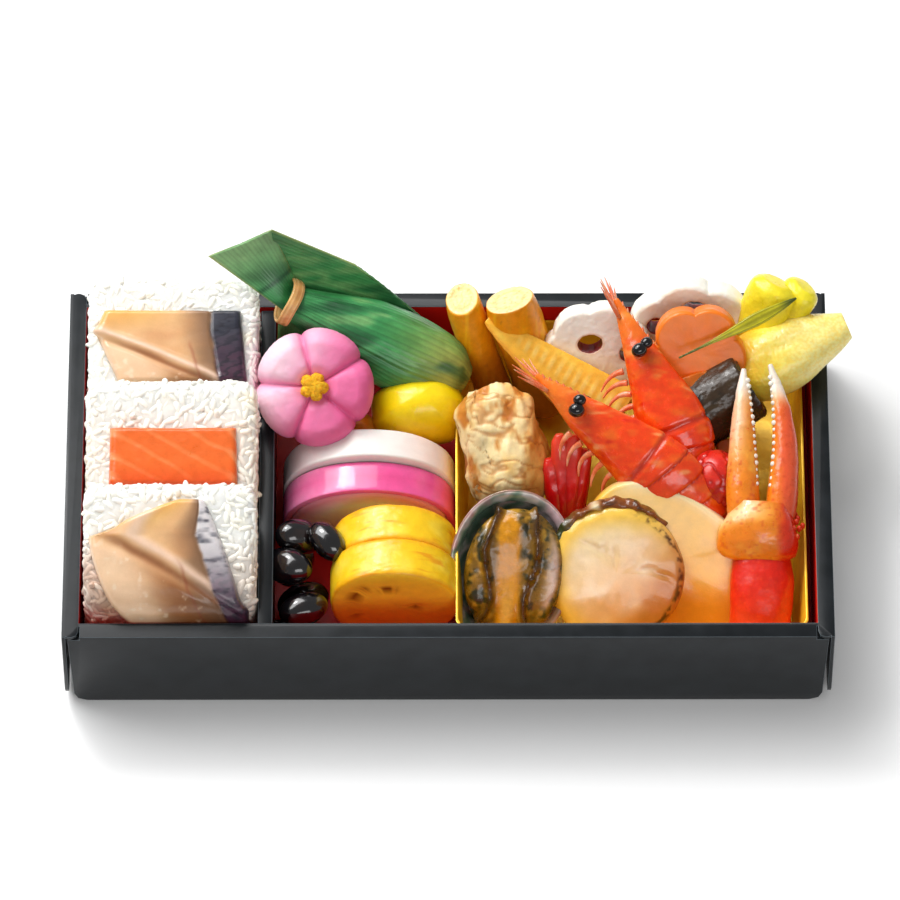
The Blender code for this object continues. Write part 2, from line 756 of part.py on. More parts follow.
def make_red_pickle():
    """A radish cut into a fan of fingers that join at its foot."""
    base = Vector((37.5, -11.0, 21.0))
    fan = None
    tips = (
        (31.6, 1.0, 38.0, 2.9), (35.0, 6.2, 44.0, 3.0), (39.4, 6.0, 44.0, 3.0),
        (43.0, 3.4, 40.0, 2.8), (38.2, 0.6, 35.0, 3.0),
    )
    for i, (x, y, z, r) in enumerate(tips):
        tip = Vector((x, y, z))
        foot = base + (tip - base) * -0.35 + Vector(((x - 37.5) * 0.35, 0, 0))
        path = [foot.lerp(tip, t) for t in (0.0, 0.7, 1.0)]
        sections = [oval(r * k, r * k * 0.8, 5) for k in (1.5, 1.2, 0.5)]
        finger = add_object("red_pickle" if i == 0 else "finger", along(path, sections), "red_pickle")
        if fan is None:
            fan = finger
        else:
            join_into(fan, finger)
    return fan


def make_shrimp(name, tail, waist, eye, tip, girth, lean):
    """A shrimp on its side: beak, head shell, then the first rings of its tail bending down."""
    path = bend(tail, waist, eye, 7) + [Vector(eye).lerp(Vector(tip), t) for t in (0.5, 1.0)]
    share = (0.42, 0.70, 0.88, 1.02, 1.06, 0.94, 0.72, 0.50, 0.28, 0.07)
    sections = []
    for i, k in enumerate(share):
        ring = []
        for x, y in oval(girth * 0.62 * k, girth * k, 9, 2.1):
            keel = 1.0 + 0.16 * max(y / (girth * k), 0) * (1 - abs(x) / (girth * 0.62 * k + 0.01))
            ring.append((x, y * keel))
        sections.append(ring)
    return add_object(name, along(path, sections, up=lean), "shrimp")


def make_shrimps():
    return [
        make_shrimp(
            "shrimp_front", (86.0, -16.6, 25.0), (78.6, -15.6, 37.0), (42.0, 8.4, 51.5),
            (27.5, 19.4, 57.6), 11.2, (0.62, 0.42, 0.66),
        ),
        make_shrimp(
            "shrimp_back", (78.6, -8.0, 15.0), (76.4, -3.0, 38.0), (61.0, 27.4, 54.0),
            (52.8, 45.4, 61.6), 11.2, (0.85, 0.30, 0.42),
        ),
    ]


def make_flower_slice(name, radius, thick, lobes, depth, place, material, holes=()):
    """A round of root vegetable with its rim trimmed into petals, and any holes that run through it."""
    slice_ = add_object(name, stack(petals(radius, lobes, depth, 3), dome_levels(thick, 0.06, 1)), material, place)
    for x, y, rx, ry in holes:
        bore = stack(oval(rx, ry, 8), [(1.0, -2.0), (1.0, thick + 2.0)])
        take_from(slice_, add_object("bore", bore, material, place))
    return slice_


def make_slices():
    left_holes = [(-1.5, 5.4, 3.9, 3.0), (10.0, 0.0, 2.8, 2.8), (-8.5, -5.0, 2.6, 2.8)]
    right_holes = [(-2.0, 11.6, 4.4, 2.8), (-12.4, 2.4, 3.0, 3.0), (11.6, 3.0, 3.0, 3.2)]
    flower = facing(78.6, 37.2, 46.0, roll=4, tilt=48)
    near = facing(47.4, 43.8, 35.6, roll=10, tilt=56)
    far = facing(77.4, 52.0, 36.2, roll=-15, tilt=68)
    return [
        make_flower_slice("carrot", 15.6, 9.0, 5, 0.16, flower, "carrot"),
        make_flower_slice("lotus_1", 17.6, 8.0, 7, 0.10, near, "lotus_root", left_holes),
        make_flower_slice("lotus_2", 20.8, 8.0, 7, 0.10, far, "lotus_root", right_holes),
    ]


# ---------------------------------------------------------------- right edge


def make_roe():
    """Two lobes of herring roe: a long one that lies over the rim, and a yellow pair behind it."""
    inner, outer = Vector((84.6, 29.0, 37.0)), Vector((126.0, 43.6, 49.4))
    path = [inner.lerp(outer, t) for t in (0, 0.12, 0.3, 0.5, 0.7, 0.88, 1.0)]
    sections = [oval(r, r * 0.78, 11, 2.3) for r in (4.4, 8.6, 11.6, 12.0, 10.0, 6.8, 4.4)]
    long_lobe = add_object("herring_roe", along(path, sections), "herring_roe")
    pair = None
    lobes = (
        ((96.0, 43.0, 40.0), (104.0, 54.0, 58.5), 8.2),
        ((103.0, 46.0, 42.0), (112.8, 53.4, 57.0), 6.4),
    )
    for foot, top, radius in lobes:
        steps = (0.0, 0.2, 0.7, 0.93, 1.0)
        path = [Vector(foot).lerp(Vector(top), t) for t in steps]
        sections = [oval(radius * k, radius * k * 0.72, 10, 2.3) for k in (0.5, 0.8, 1.0, 0.92, 0.6)]
        lobe = add_object("yellow_roe" if pair is None else "lobe", along(path, sections), "yellow_roe")
        if pair is None:
            pair = lobe
        else:
            join_into(pair, lobe)
    return long_lobe, pair


def make_blade():
    """A narrow leaf laid over the roe and the carrot."""
    path = bend((72.6, 26.4, 56.8), (92.0, 34.6, 61.0), (109.6, 46.0, 61.1), 6)
    sections = []
    for k in (0.9, 0.8, 1.2, 2.1, 2.5, 1.7, 0.25):
        sections.append([(k, 0.45), (-k, 0.45), (-k, -0.45), (k, -0.45)])
    return add_object("green_blade", along(path, sections, up=(0, -0.5, 0.86)), "green_blade")


def make_kelp_roll():
    """Kelp rolled round its filling, lying on its side."""
    steps = [(0.82, 0.0), (1.0, 1.4), (1.0, 24.0), (0.84, 25.6)]
    outline = [(x * (1 + 0.03 * math.sin(3 * i)), y) for i, (x, y) in enumerate(oval(12.2, 11.0, 11))]
    place = pose(73.6, 16.6, 33.5, (0, 70, 24))
    return add_object("kelp_roll", stack(outline, steps), "kelp", place)


def make_simmered_bits():
    cube = stack(rounded_plate(11.5, 10.0, 1.6, 1), dome_levels(10.0, 0.12, 1))
    strip = stack(rounded_plate(12.0, 9.0, 2.4, 1), dome_levels(7.0, 0.12, 1))
    return [
        add_object("simmered_cube", cube, "simmered", pose(77.6, 25.2, 38.0, (24, 0, 20))),
        add_object("simmered_strip", strip, "simmered", pose(90.4, 9.5, 27.0, (24, 0, 10))),
    ]


def make_plum():
    def wrinkles(p):
        return 1 + 0.025 * math.sin(5 * math.atan2(p.y, p.x))

    shape = blob((9.8, 9.8, 10.8), count=9, rings=5, bumps=wrinkles)
    return add_object("red_plum", shape, "plum", pose(84.2, -4.6, 34.0, (20, 0, 10)))


def make_crab():
    """A crab's claw, palm and two toothed fingers, set on a length of arm."""
    palm_path = [(96.4, -29.4, 31.2), (97.0, -26.2, 33.6), (97.8, -21.0, 36.8), (98.2, -16.4, 39.0)]
    palm_sections = [oval(w, h, 12, 2.2) for w, h in ((12.4, 6.6), (12.8, 8.0), (10.8, 8.0), (8.2, 6.2))]
    claw = add_object("crab_claw", along(palm_path, palm_sections), "crab")
    fingers = (
        ((92.4, -20.0, 37.2), (92.0, 3.0, 48.0), (92.9, 23.6, 54.6), 5.2),
        ((103.6, -20.6, 37.0), (108.4, 3.0, 47.4), (101.2, 25.0, 54.8), 4.8),
    )
    for root, knuckle, tip, girth in fingers:
        path = bend(root, knuckle, tip, 6)
        share = (1.0, 1.0, 0.92, 0.80, 0.64, 0.42, 0.14)
        sections = [oval(girth * k, girth * 0.9 * k, 7) for k in share]
        join_into(claw, add_object("finger", along(path, sections), "crab"))
    arm_path = bend((98.2, -29.6, 29.4), (98.6, -40.0, 23.6), (96.6, -56.0, 12.0), 3)
    arm_sections = [oval(w, h, 10, 2.2) for w, h in ((8.8, 6.6), (10.0, 8.2), (9.6, 8.0), (8.4, 6.6))]
    arm = add_object("crab_arm", along(arm_path, arm_sections), "crab_arm")
    return claw, arm


# ---------------------------------------------------------------- front of the right-hand compartment


def make_abalone():
    """A small abalone on its half shell, face up to the eater."""
    place = facing(19.6, -32.4, 26.0, roll=-8.0, tilt=38)
    shell_levels = [
        (0.40, -9.0), (0.84, -6.0), (1.0, 1.4), (0.955, 1.8), (0.78, -4.4), (0.38, -7.4),
    ]
    shell = add_object("abalone_shell", stack(oval(19.4, 25.0, 16, 2.15), shell_levels), "abalone_shell", place)
    rings = []
    for k, h in ((0.34, -6.4), (0.70, -3.6), (0.86, 1.2), (0.78, 3.6), (0.5, 5.0), (0.2, 4.2)):
        ring = []
        for x, y in oval(19.4, 25.0, 14, 2.1):
            fold = 1.3 * math.cos(math.pi * x / 9.0) * k if h > 2 else 0.0
            ring.append(Vector((x * k, y * k, h + fold)))
        rings.append(ring)
    meat = add_object("abalone_meat", loft(rings), "abalone", place)
    return shell, meat


def make_scallop():
    """A thick round of scallop with its frill along the upper edge."""
    place = facing(52.8, -32.6, 23.4, roll=4.0, tilt=40)
    rings = []
    for k, h in ((0.80, -7.0), (1.0, -3.0), (0.99, 2.4), (0.88, 5.0), (0.5, 6.0)):
        rings.append([Vector((x * k, y * k, h)) for x, y in oval(21.4, 21.8, 14, 2.1)])
    meat = add_object("scallop", loft(rings), "scallop", place)
    path, sections = [], []
    for i in range(8):
        a = math.radians(150 - 110 * i / 7)
        path.append(place @ Vector((21.6 * math.cos(a), 23.0 * math.sin(a), -1.2)))
        k = 1.0 if 0 < i < 7 else 0.45
        sections.append(oval((1.8 + 0.6 * math.sin(1.9 * i)) * k, (3.4 + 0.5 * math.cos(2.3 * i)) * k, 6))
    frill = add_object("scallop_frill", along(path, sections, up=(0, -0.6, 0.8)), "scallop_frill")
    return meat, frill


def make_fish_slice():
    """A broad cured slice that stands behind the scallop."""
    place = facing(70.6, -27.6, 24.0, roll=-42.0, tilt=44)
    levels = dome_levels(6.4, 0.07, 1, low=-3.2)
    outline = [(x, y * (1 + 0.10 * x / 30)) for x, y in oval(31.0, 20.0, 18, 2.2)]
    return add_object("fish_slice", stack(outline, levels), "fish_slice", place)


def main():
    clear_scene()
    tray, divider, liner = make_tray(), make_divider(), make_liner()
    toppings, rice = make_sushi()
    white, cake, skin = make_fishcake()
    sweet, dab = make_sweet()
    shell, abalone = make_abalone()
    scallop, frill = make_scallop()
    roe, yellow = make_roe()
    claw, arm = make_crab()
    pieces = (
        [tray, divider, liner]
        + toppings + rice
        + make_rolled_egg()
        + [skin, cake, white, dab, sweet]
        + [shell, abalone, scallop, frill, make_fish_slice(), claw]
        + make_shrimps()
        + [make_tie(), make_blade(), make_bamboo_shoot()]
        + make_sticks() + make_slices() + make_beans()
        + [roe, make_curd_roll(), make_red_pickle(), make_plum(), arm]
        + [make_kelp_roll(), yellow, make_leaf_parcel(), make_chestnut()]
        + make_simmered_bits() + [make_root_piece()]
    )
    settle(pieces)
    to_metres(pieces)


main()
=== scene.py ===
"""Looks of a packed festive bento: rice grains, cured fish, sweets, simmered pieces and shellfish.

Lengths in this file are millimetres, and meshes are scaled to metres as they are made.
"""

import math

import bmesh
import bpy
import numpy as np
from bpy.props import FloatProperty, FloatVectorProperty, PointerProperty
from mathutils import Euler, Matrix, Vector
from mathutils.bvhtree import BVHTree


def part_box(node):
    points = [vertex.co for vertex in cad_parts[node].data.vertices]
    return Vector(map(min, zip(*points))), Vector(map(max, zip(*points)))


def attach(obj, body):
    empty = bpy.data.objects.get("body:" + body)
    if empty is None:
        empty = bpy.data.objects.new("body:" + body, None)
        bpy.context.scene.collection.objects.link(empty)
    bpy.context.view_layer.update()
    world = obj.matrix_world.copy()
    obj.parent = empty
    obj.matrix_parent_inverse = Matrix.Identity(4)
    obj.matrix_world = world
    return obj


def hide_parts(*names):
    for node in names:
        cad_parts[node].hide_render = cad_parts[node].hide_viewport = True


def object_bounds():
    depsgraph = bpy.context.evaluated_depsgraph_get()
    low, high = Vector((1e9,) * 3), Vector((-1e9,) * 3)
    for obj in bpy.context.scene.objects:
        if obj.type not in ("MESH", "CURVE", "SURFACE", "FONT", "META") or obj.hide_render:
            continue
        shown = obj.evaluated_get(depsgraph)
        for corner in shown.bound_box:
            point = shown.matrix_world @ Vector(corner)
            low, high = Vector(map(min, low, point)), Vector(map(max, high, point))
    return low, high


bl_info = {
    "name": "Festive Bento",
    "version": (1, 0, 0),
    "blender": (4, 5, 0),
    "location": "View3D > Sidebar > Bento",
    "description": "Builds the looks of a packed festive bento around its fixed frame",
    "category": "Object",
}

MM = 0.001
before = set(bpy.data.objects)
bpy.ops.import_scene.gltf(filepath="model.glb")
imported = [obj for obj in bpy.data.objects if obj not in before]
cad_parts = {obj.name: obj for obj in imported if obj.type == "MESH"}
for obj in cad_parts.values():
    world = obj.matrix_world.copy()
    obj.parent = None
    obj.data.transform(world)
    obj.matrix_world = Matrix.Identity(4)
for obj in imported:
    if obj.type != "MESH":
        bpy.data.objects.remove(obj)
CAD_LOW, CAD_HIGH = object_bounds()


def box_mm(node):
    """Lowest and highest corner of a frame node, in millimetres."""
    low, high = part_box(node)
    return np.array(low) / MM, np.array(high) / MM


# Corners of the tray, the width of its rim, the height of the floor that the food lies on, and the lean of an
# eater's view, at which most pieces face up.
TRAY_HIGH = box_mm("tray")[1]
RIM = 5.2
INNER_X = TRAY_HIGH[0] - RIM
INNER_Y = TRAY_HIGH[1] - RIM
TRAY_TOP = TRAY_HIGH[2]
BED = 2.4
EYE_TILT = 33.0


# ---------------------------------------------------------------- numbers and shapes


def pose(x, y, z, turn=(0.0, 0.0, 0.0)):
    """Where a piece lies: its place and its turns about X, Y and Z in degrees."""
    angles = Euler([math.radians(a) for a in turn], "XYZ")
    return Matrix.Translation((x, y, z)) @ angles.to_matrix().to_4x4()


def facing(x, y, z, roll=0.0, tilt=EYE_TILT):
    """Local +Z looks at the eater's eye, local +Y runs up the piece, and roll turns it in its own plane."""
    return pose(x, y, z, (tilt, 0.0, 0.0)) @ Matrix.Rotation(math.radians(roll), 4, "Z")


def ease(low, high, value):
    """0 below low, 1 above high and a soft step between them."""
    t = np.clip((value - low) / (high - low), 0.0, 1.0)
    return t * t * (3 - 2 * t)


def band(centre, width, value):
    """1 on the centre and 0 beyond the width to either side, softly."""
    return 1 - ease(0.0, width, np.abs(value - centre))


def lattice(cells, seed):
    """A fixed pseudo-random value from -1 to 1 for each whole-number cell."""
    h = cells[..., 0] * 374761393 + cells[..., 1] * 668265263 + cells[..., 2] * 1440662683 + seed * 974711
    h = (h ^ (h >> 13)) * 1274126177
    return ((h ^ (h >> 16)) & 0xFFFF) / 32767.5 - 1.0


def noise(points, size, seed=0, octaves=2):
    """Soft noise from -1 to 1 at each point; size is its largest feature and may differ by axis."""
    total, weight, norm = 0.0, 1.0, 0.0
    for octave in range(octaves):
        q = points / np.asarray(size, float) * 2.0**octave + 13.7 * (octave + 1)
        base = np.floor(q).astype(np.int64)
        f = q - base
        f = f * f * (3 - 2 * f)
        value = 0.0
        for corner in range(8):
            step = np.array((corner & 1, (corner >> 1) & 1, corner >> 2))
            share = np.prod(np.where(step, f, 1 - f), axis=1)
            value = value + share * lattice(base + step, seed + octave)
        total, norm, weight = total + weight * value, norm + weight, weight * 0.5
    return total / norm


def resample(rows, count, closed=False):
    """A smooth run of count rows through the given ones, with no overshoot."""
    rows = np.asarray(rows, float)
    wrap = 3 if closed else 0
    if closed:
        rows = np.concatenate([rows[-wrap:], rows, rows[: wrap + 1]])
    flat = rows.reshape(len(rows), -1)
    step = np.maximum(np.linalg.norm(np.diff(flat, axis=0), axis=1), 1e-6)
    s = np.concatenate([[0.0], np.cumsum(step)])
    slope = np.diff(flat, axis=0) / step[:, None]
    before, after = slope[:-1], slope[1:]
    wide = (step[:-1] + 2 * step[1:])[:, None], (2 * step[:-1] + step[1:])[:, None]
    agree = before * after > 1e-12
    lean = wide[0] / np.where(agree, before, 1.0) + wide[1] / np.where(agree, after, 1.0)
    inner = np.where(agree, (wide[0] + wide[1]) / np.where(np.abs(lean) > 1e-12, lean, 1.0), 0.0)
    tangent = np.concatenate([slope[:1], inner, slope[-1:]])
    if closed:
        want = np.linspace(s[wrap], s[len(rows) - 1 - 1], count + 1)[:-1]
    else:
        want = np.linspace(0.0, s[-1], count)
    at = np.clip(np.searchsorted(s, want, side="right") - 1, 0, len(step) - 1)
    h = step[at][:, None]
    t = ((want - s[at]) / step[at])[:, None]
    out = (2 * t**3 - 3 * t**2 + 1) * flat[at] + (t**3 - 2 * t**2 + t) * h * tangent[at]
    out = out + (3 * t**2 - 2 * t**3) * flat[at + 1] + (t**3 - t**2) * h * tangent[at + 1]
    return out.reshape((count,) + rows.shape[1:])


def oval(half_x, half_y, count=96, power=2.0):
    """Points of a rounded outline: power 2 is an ellipse, more is squarer."""
    a = math.tau * np.arange(count) / count
    c, s = np.cos(a), np.sin(a)
    x = half_x * np.sign(c) * np.abs(c) ** (2 / power)
    y = half_y * np.sign(s) * np.abs(s) ** (2 / power)
    return np.stack([x, y], 1)


def stack(outline, levels, rows):
    """Grid of one flat outline through smooth (scale, height) levels."""
    levels = resample(levels, rows)
    flat = outline[None] * levels[:, :1, None]
    height = np.broadcast_to(levels[:, 1, None, None], flat.shape[:2] + (1,))
    return np.concatenate([flat, height], 2)


def along(path, sections, rows, up=(0.0, 0.0, 1.0)):
    """Grid of sections set square to a path; section x runs to the path's side and y runs up."""
    path = np.asarray(path, float)
    run = np.gradient(path, axis=0)
    run[1:-1] *= 2.0
    run /= np.linalg.norm(run, axis=1)[:, None]
    side = np.cross(run, np.asarray(up, float))
    side /= np.linalg.norm(side, axis=1)[:, None]
    rise = np.cross(side, run)
    sections = np.asarray(sections, float)
    rings = path[:, None] + side[:, None] * sections[..., :1] + rise[:, None] * sections[..., 1:2]
    return resample(rings, rows)


def bend(a, b, c, steps):
    """Points of a smooth bend that leaves a, leans to b and ends at c."""
    a, b, c = (np.asarray(p, float) for p in (a, b, c))
    t = np.linspace(0, 1, steps + 1)[:, None]
    return a * (1 - t) ** 2 + b * 2 * t * (1 - t) + c * t * t


def capped(grid):
    """The grid with each end ring drawn in to its middle in small steps."""
    ends = []
    for ring in (grid[0], grid[-1]):
        hub = ring.mean(0)
        ends.append([hub + (ring - hub) * k for k in (0.06, 0.25, 0.5, 0.75)])
    return np.concatenate([ends[0], grid, ends[1][::-1]])


def skin(grid, loop=False):
    """Vertices, faces and (u, v) of a closed surface over rings; loop joins the last to the first."""
    if not loop:
        grid = capped(grid)
    rows, count, _ = grid.shape
    points = grid.reshape(-1, 3)
    i = np.arange(rows if loop else rows - 1)[:, None]
    j = np.arange(count)[None]
    k, n = (j + 1) % count, (i + 1) % rows
    faces = np.stack([i * count + j, i * count + k, n * count + k, n * count + j],
                     -1).reshape(-1, 4).tolist()
    u = np.repeat(np.linspace(0, 1, rows), count)
    v = np.tile(np.arange(count) / count, rows)
    if not loop:
        faces.append(list(range(count))[::-1])
        faces.append([(rows - 1) * count + a for a in range(count)])
    return points, faces, u, v


# ---------------------------------------------------------------- pieces


class Spot:
    """Where each vertex of a piece is: its own x, y, z and normal, its (u, v), and w in the tray."""

    def __init__(self, points, normals, u, v, place):
        self.p, self.n, self.u, self.v = points, normals, u, v
        self.x, self.y, self.z = points[:, 0], points[:, 1], points[:, 2]
        self.w = laid(points, place)

    def noise(self, size, seed=0, octaves=2):
        return noise(self.p, size, seed, octaves)


def tone(red, green, blue):
    """A colour on a scale of 0 to 255."""
    return np.array((red, green, blue), float)


def even(spot, colour):
    """One colour at every vertex."""
    return np.broadcast_to(colour, (len(spot.p), 3)).copy()


def over(base, colour, share):
    """The base with a colour laid over it by a share at each vertex."""
    share = np.clip(share, 0.0, 1.0)[:, None]
    return base * (1 - share) + colour * share


def linear(colour):
    """Display colour, 0 to 255, as the linear value that a shader takes."""
    c = np.clip(np.asarray(colour, float) / 255.0, 0.0, 1.0)
    return np.where(c <= 0.04045, c / 12.92, ((c + 0.055) / 1.055) ** 2.4)


def normals_of(mesh):
    """The mesh's vertex normals as an array."""
    out = np.empty(len(mesh.vertices) * 3)
    mesh.vertex_normals.foreach_get("vector", out)
    return out.reshape(-1, 3)


def outward(points, faces):
    """The faces, turned over if they enclose a negative volume."""
    points = points - points.mean(0)
    corners = np.array([(f[0], f[k], f[k + 1]) for f in faces for k in range(1, len(f) - 1)])
    a, b, c = (points[corners[:, i]] for i in range(3))
    volume = np.einsum("ij,ij->i", a, np.cross(b, c)).sum()
    return faces if volume > 0 else [f[::-1] for f in faces]


def paint(mesh, colours):
    """Stores a colour for each vertex, which the finish reads by its name."""
    tint = mesh.attributes.new("tint", "FLOAT_COLOR", "POINT")
    values = np.ones((len(mesh.vertices), 4))
    values[:, :3] = linear(colours)
    tint.data.foreach_set("color", values.ravel())


def laid(points, place):
    """Points moved to their place in the tray."""
    if place is None:
        return points
    matrix = np.array(place)
    return points @ matrix[:3, :3].T + matrix[:3, 3]


def place_mesh(mesh, points, place):
    """Lays a millimetre mesh in the tray, in metres, and keeps it within the frame's own box."""
    points = laid(points, place)
    margin = 0.00005
    points = np.clip(points * MM, np.array(CAD_LOW) + margin, np.array(CAD_HIGH) - margin)
    mesh.vertices.foreach_set("co", points.ravel())
    mesh.update()


def settle_piece(obj, nodes=()):
    """Ties a piece to the frame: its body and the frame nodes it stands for."""
    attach(obj, "root")
    if nodes:
        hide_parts(*nodes)
    return obj


def shape_piece(name, shape, finish, tint, nodes=(), place=None, relief=None):
    """Makes one piece from its points and faces: relief first, then colour, then its place in the tray."""
    points, faces, u, v = shape
    mesh = bpy.data.meshes.new(name)
    mesh.from_pydata(points.tolist(), [], outward(points, faces))
    mesh.update()
    spot = Spot(points, normals_of(mesh), u, v, place)
    if relief:
        points = points + spot.n * relief(spot)[:, None]
    paint(mesh, tint(spot))
    place_mesh(mesh, points, place)
    mesh.shade_smooth()
    mesh.materials.append(finish)
    obj = bpy.data.objects.new(name, mesh)
    bpy.context.scene.collection.objects.link(obj)
    return settle_piece(obj, nodes)


def piece(name, grid, finish, tint, nodes=(), place=None, relief=None, loop=False):
    """Makes one piece from a grid of rings."""
    return shape_piece(name, skin(grid, loop), finish, tint, nodes, place, relief)


def merged(shapes):
    """Several shapes as one."""
    points, faces, us, vs, start = [], [], [], [], 0
    for p, f, u, v in shapes:
        points.append(p)
        faces += [[i + start for i in face] for face in outward(p, f)]
        us.append(u)
        vs.append(v)
        start += len(p)
    return np.concatenate(points), faces, np.concatenate(us), np.concatenate(vs)


def worked(node, voxel, smooth=0):
    """Points and faces of a frame node remeshed finely, in millimetres."""
    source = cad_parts[node]
    copy = bpy.data.objects.new("working", source.data.copy())
    bpy.context.scene.collection.objects.link(copy)
    remesh = copy.modifiers.new("remesh", "REMESH")
    remesh.mode = "VOXEL"
    remesh.voxel_size = voxel * MM
    if smooth:
        soften = copy.modifiers.new("soften", "SMOOTH")
        soften.iterations = smooth
        soften.factor = 0.5
    graph = bpy.context.evaluated_depsgraph_get()
    mesh = bpy.data.meshes.new_from_object(copy.evaluated_get(graph))
    points = np.array([v.co for v in mesh.vertices]) / MM
    faces = [list(p.vertices) for p in mesh.polygons]
    bpy.data.objects.remove(copy, do_unlink=True)
    bpy.data.meshes.remove(mesh)
    blank = np.zeros(len(points))
    return points, faces, blank, blank


# ---------------------------------------------------------------- finishes


def link(tree, out, into):
    """Joins an output socket to an input socket."""
    tree.links.new(out, into)


def noise_node(tree, size, detail=3.0):
    """3-D noise over the piece's own place; size is in millimetres."""
    where = tree.nodes.new("ShaderNodeTexCoord")
    out = tree.nodes.new("ShaderNodeTexNoise")
    out.inputs["Scale"].default_value = 1.0 / (size * MM)
    out.inputs["Detail"].default_value = detail
    link(tree, where.outputs["Object"], out.inputs["Vector"])
    return out


def ramp_node(tree, source, low, high, first, second):
    """first below low, second above high."""
    out = tree.nodes.new("ShaderNodeValToRGB")
    ends = out.color_ramp.elements
    ends[0].position, ends[1].position = low, high
    ends[0].color, ends[1].color = (*first, 1.0), (*second, 1.0)
    link(tree, source, out.inputs["Fac"])
    return out


def mix_node(tree, kind, share, first, second):
    """Two colours mixed by a share, which is a number or a socket."""
    out = tree.nodes.new("ShaderNodeMix")
    out.data_type = "RGBA"
    out.blend_type = kind
    if isinstance(share, float):
        out.inputs["Factor"].default_value = share
    else:
        link(tree, share, out.inputs["Factor"])
    link(tree, first, out.inputs["A"])
    link(tree, second, out.inputs["B"])
    return out.outputs["Result"]


def bump_node(tree, height, strength, depth, under=None):
    """Bump of a depth in millimetres, over another bump if one is given."""
    out = tree.nodes.new("ShaderNodeBump")
    out.inputs["Strength"].default_value = strength
    out.inputs["Distance"].default_value = depth * MM
    link(tree, height, out.inputs["Height"])
    if under:
        link(tree, under, out.inputs["Normal"])
    return out.outputs["Normal"]


def blank_material(name):
    """A new material, its node tree and its shader."""
    material = bpy.data.materials.new(name)
    material.use_nodes = True
    return material, material.node_tree, material.node_tree.nodes["Principled BSDF"]


def uneven_gloss(tree, shader, source, low, high):
    """Roughness that drifts from low to high with a noise."""
    gloss = tree.nodes.new("ShaderNodeMapRange")
    gloss.inputs["To Min"].default_value = low
    gloss.inputs["To Max"].default_value = high
    link(tree, source, gloss.inputs["Value"])
    link(tree, gloss.outputs["Result"], shader.inputs["Roughness"])


def food_finish(
    name, rough=(0.35, 0.55), mottle=(2.0, 0.16), grain=0.5, relief=(0.5, 0.25), flesh=0.0,
    flesh_depth=(1.0, 0.5, 0.25), wet=0.0, wet_rough=0.12, metal=0.0, shine=0.36, depth=2.0,
):
    """The piece's painted tint, broken up with mottling, grain and uneven gloss."""
    made = bpy.data.materials.get(name)
    if made:
        return made
    material, tree, shader = blank_material(name)
    tint = tree.nodes.new("ShaderNodeAttribute")
    tint.attribute_name = "tint"
    broad, fine = noise_node(tree, mottle[0]), noise_node(tree, grain, 4.0)
    light = 1.0 - mottle[1]
    shade = ramp_node(tree, broad.outputs["Fac"], 0.35, 0.65, (light, light, light), (1.0, 1.0, 1.0))
    speck = ramp_node(tree, fine.outputs["Fac"], 0.40, 0.60, (light + mottle[1] / 2,) * 3, (1.0, 1.0, 1.0))
    colour = mix_node(tree, "MULTIPLY", 1.0, tint.outputs["Color"], shade.outputs["Color"])
    colour = mix_node(tree, "MULTIPLY", 0.7, colour, speck.outputs["Color"])
    link(tree, colour, shader.inputs["Base Color"])
    uneven_gloss(tree, shader, broad.outputs["Fac"], *rough)
    under = bump_node(tree, broad.outputs["Fac"], relief[1], relief[0])
    link(tree, bump_node(tree, fine.outputs["Fac"], relief[1], relief[0] * 0.4, under),
         shader.inputs["Normal"])
    shader.inputs["Metallic"].default_value = metal
    shader.inputs["Specular IOR Level"].default_value = shine
    shader.inputs["Subsurface Weight"].default_value = flesh
    shader.inputs["Subsurface Radius"].default_value = flesh_depth
    shader.inputs["Subsurface Scale"].default_value = depth * MM
    shader.inputs["Coat Weight"].default_value = wet * 0.6
    shader.inputs["Coat Roughness"].default_value = wet_rough
    return material


def board_finish(name, outer, lining=None):
    """Coated card: dark outside, with its own lining colour on the faces that look into the tray."""
    made = bpy.data.materials.get(name)
    if made:
        return made
    material, tree, shader = blank_material(name)
    scuff, fine = noise_node(tree, 9.0, 5.0), noise_node(tree, 0.6, 3.0)
    worn = tuple(c * 1.6 + 0.004 for c in linear(outer))
    colour = ramp_node(tree, scuff.outputs["Fac"], 0.35, 0.75, tuple(linear(outer)), worn).outputs["Color"]
    if lining is not None:
        where = tree.nodes.new("ShaderNodeTexCoord")
        axes = tree.nodes.new("ShaderNodeSeparateXYZ")
        link(tree, where.outputs["Object"], axes.inputs["Vector"])
        inside = None
        limits = (("X", INNER_X + 0.15), ("Y", INNER_Y + 0.15))
        for axis, limit in limits:
            size = math_node(tree, "ABSOLUTE", axes.outputs[axis])
            test = math_node(tree, "LESS_THAN", size, limit * MM)
            inside = test if inside is None else math_node(tree, "MULTIPLY", inside, test)
        floor = math_node(tree, "GREATER_THAN", axes.outputs["Z"], 0.5 * MM)
        below = math_node(tree, "LESS_THAN", axes.outputs["Z"], (TRAY_TOP - 0.25) * MM)
        inside = math_node(tree, "MULTIPLY", inside, math_node(tree, "MULTIPLY", floor, below))
        red = ramp_node(tree, scuff.outputs["Fac"], 0.3, 0.7, tuple(linear(lining)),
                        tuple(linear(lining) * 1.25))
        colour = mix_node(tree, "MIX", inside, colour, red.outputs["Color"])
    link(tree, colour, shader.inputs["Base Color"])
    uneven_gloss(tree, shader, scuff.outputs["Fac"], 0.26, 0.44)
    link(tree, bump_node(tree, fine.outputs["Fac"], 0.10, 0.15), shader.inputs["Normal"])
    shader.inputs["Specular IOR Level"].default_value = 0.22
    shader.inputs["Coat Weight"].default_value = 0.06
    shader.inputs["Coat Roughness"].default_value = 0.15
    return material


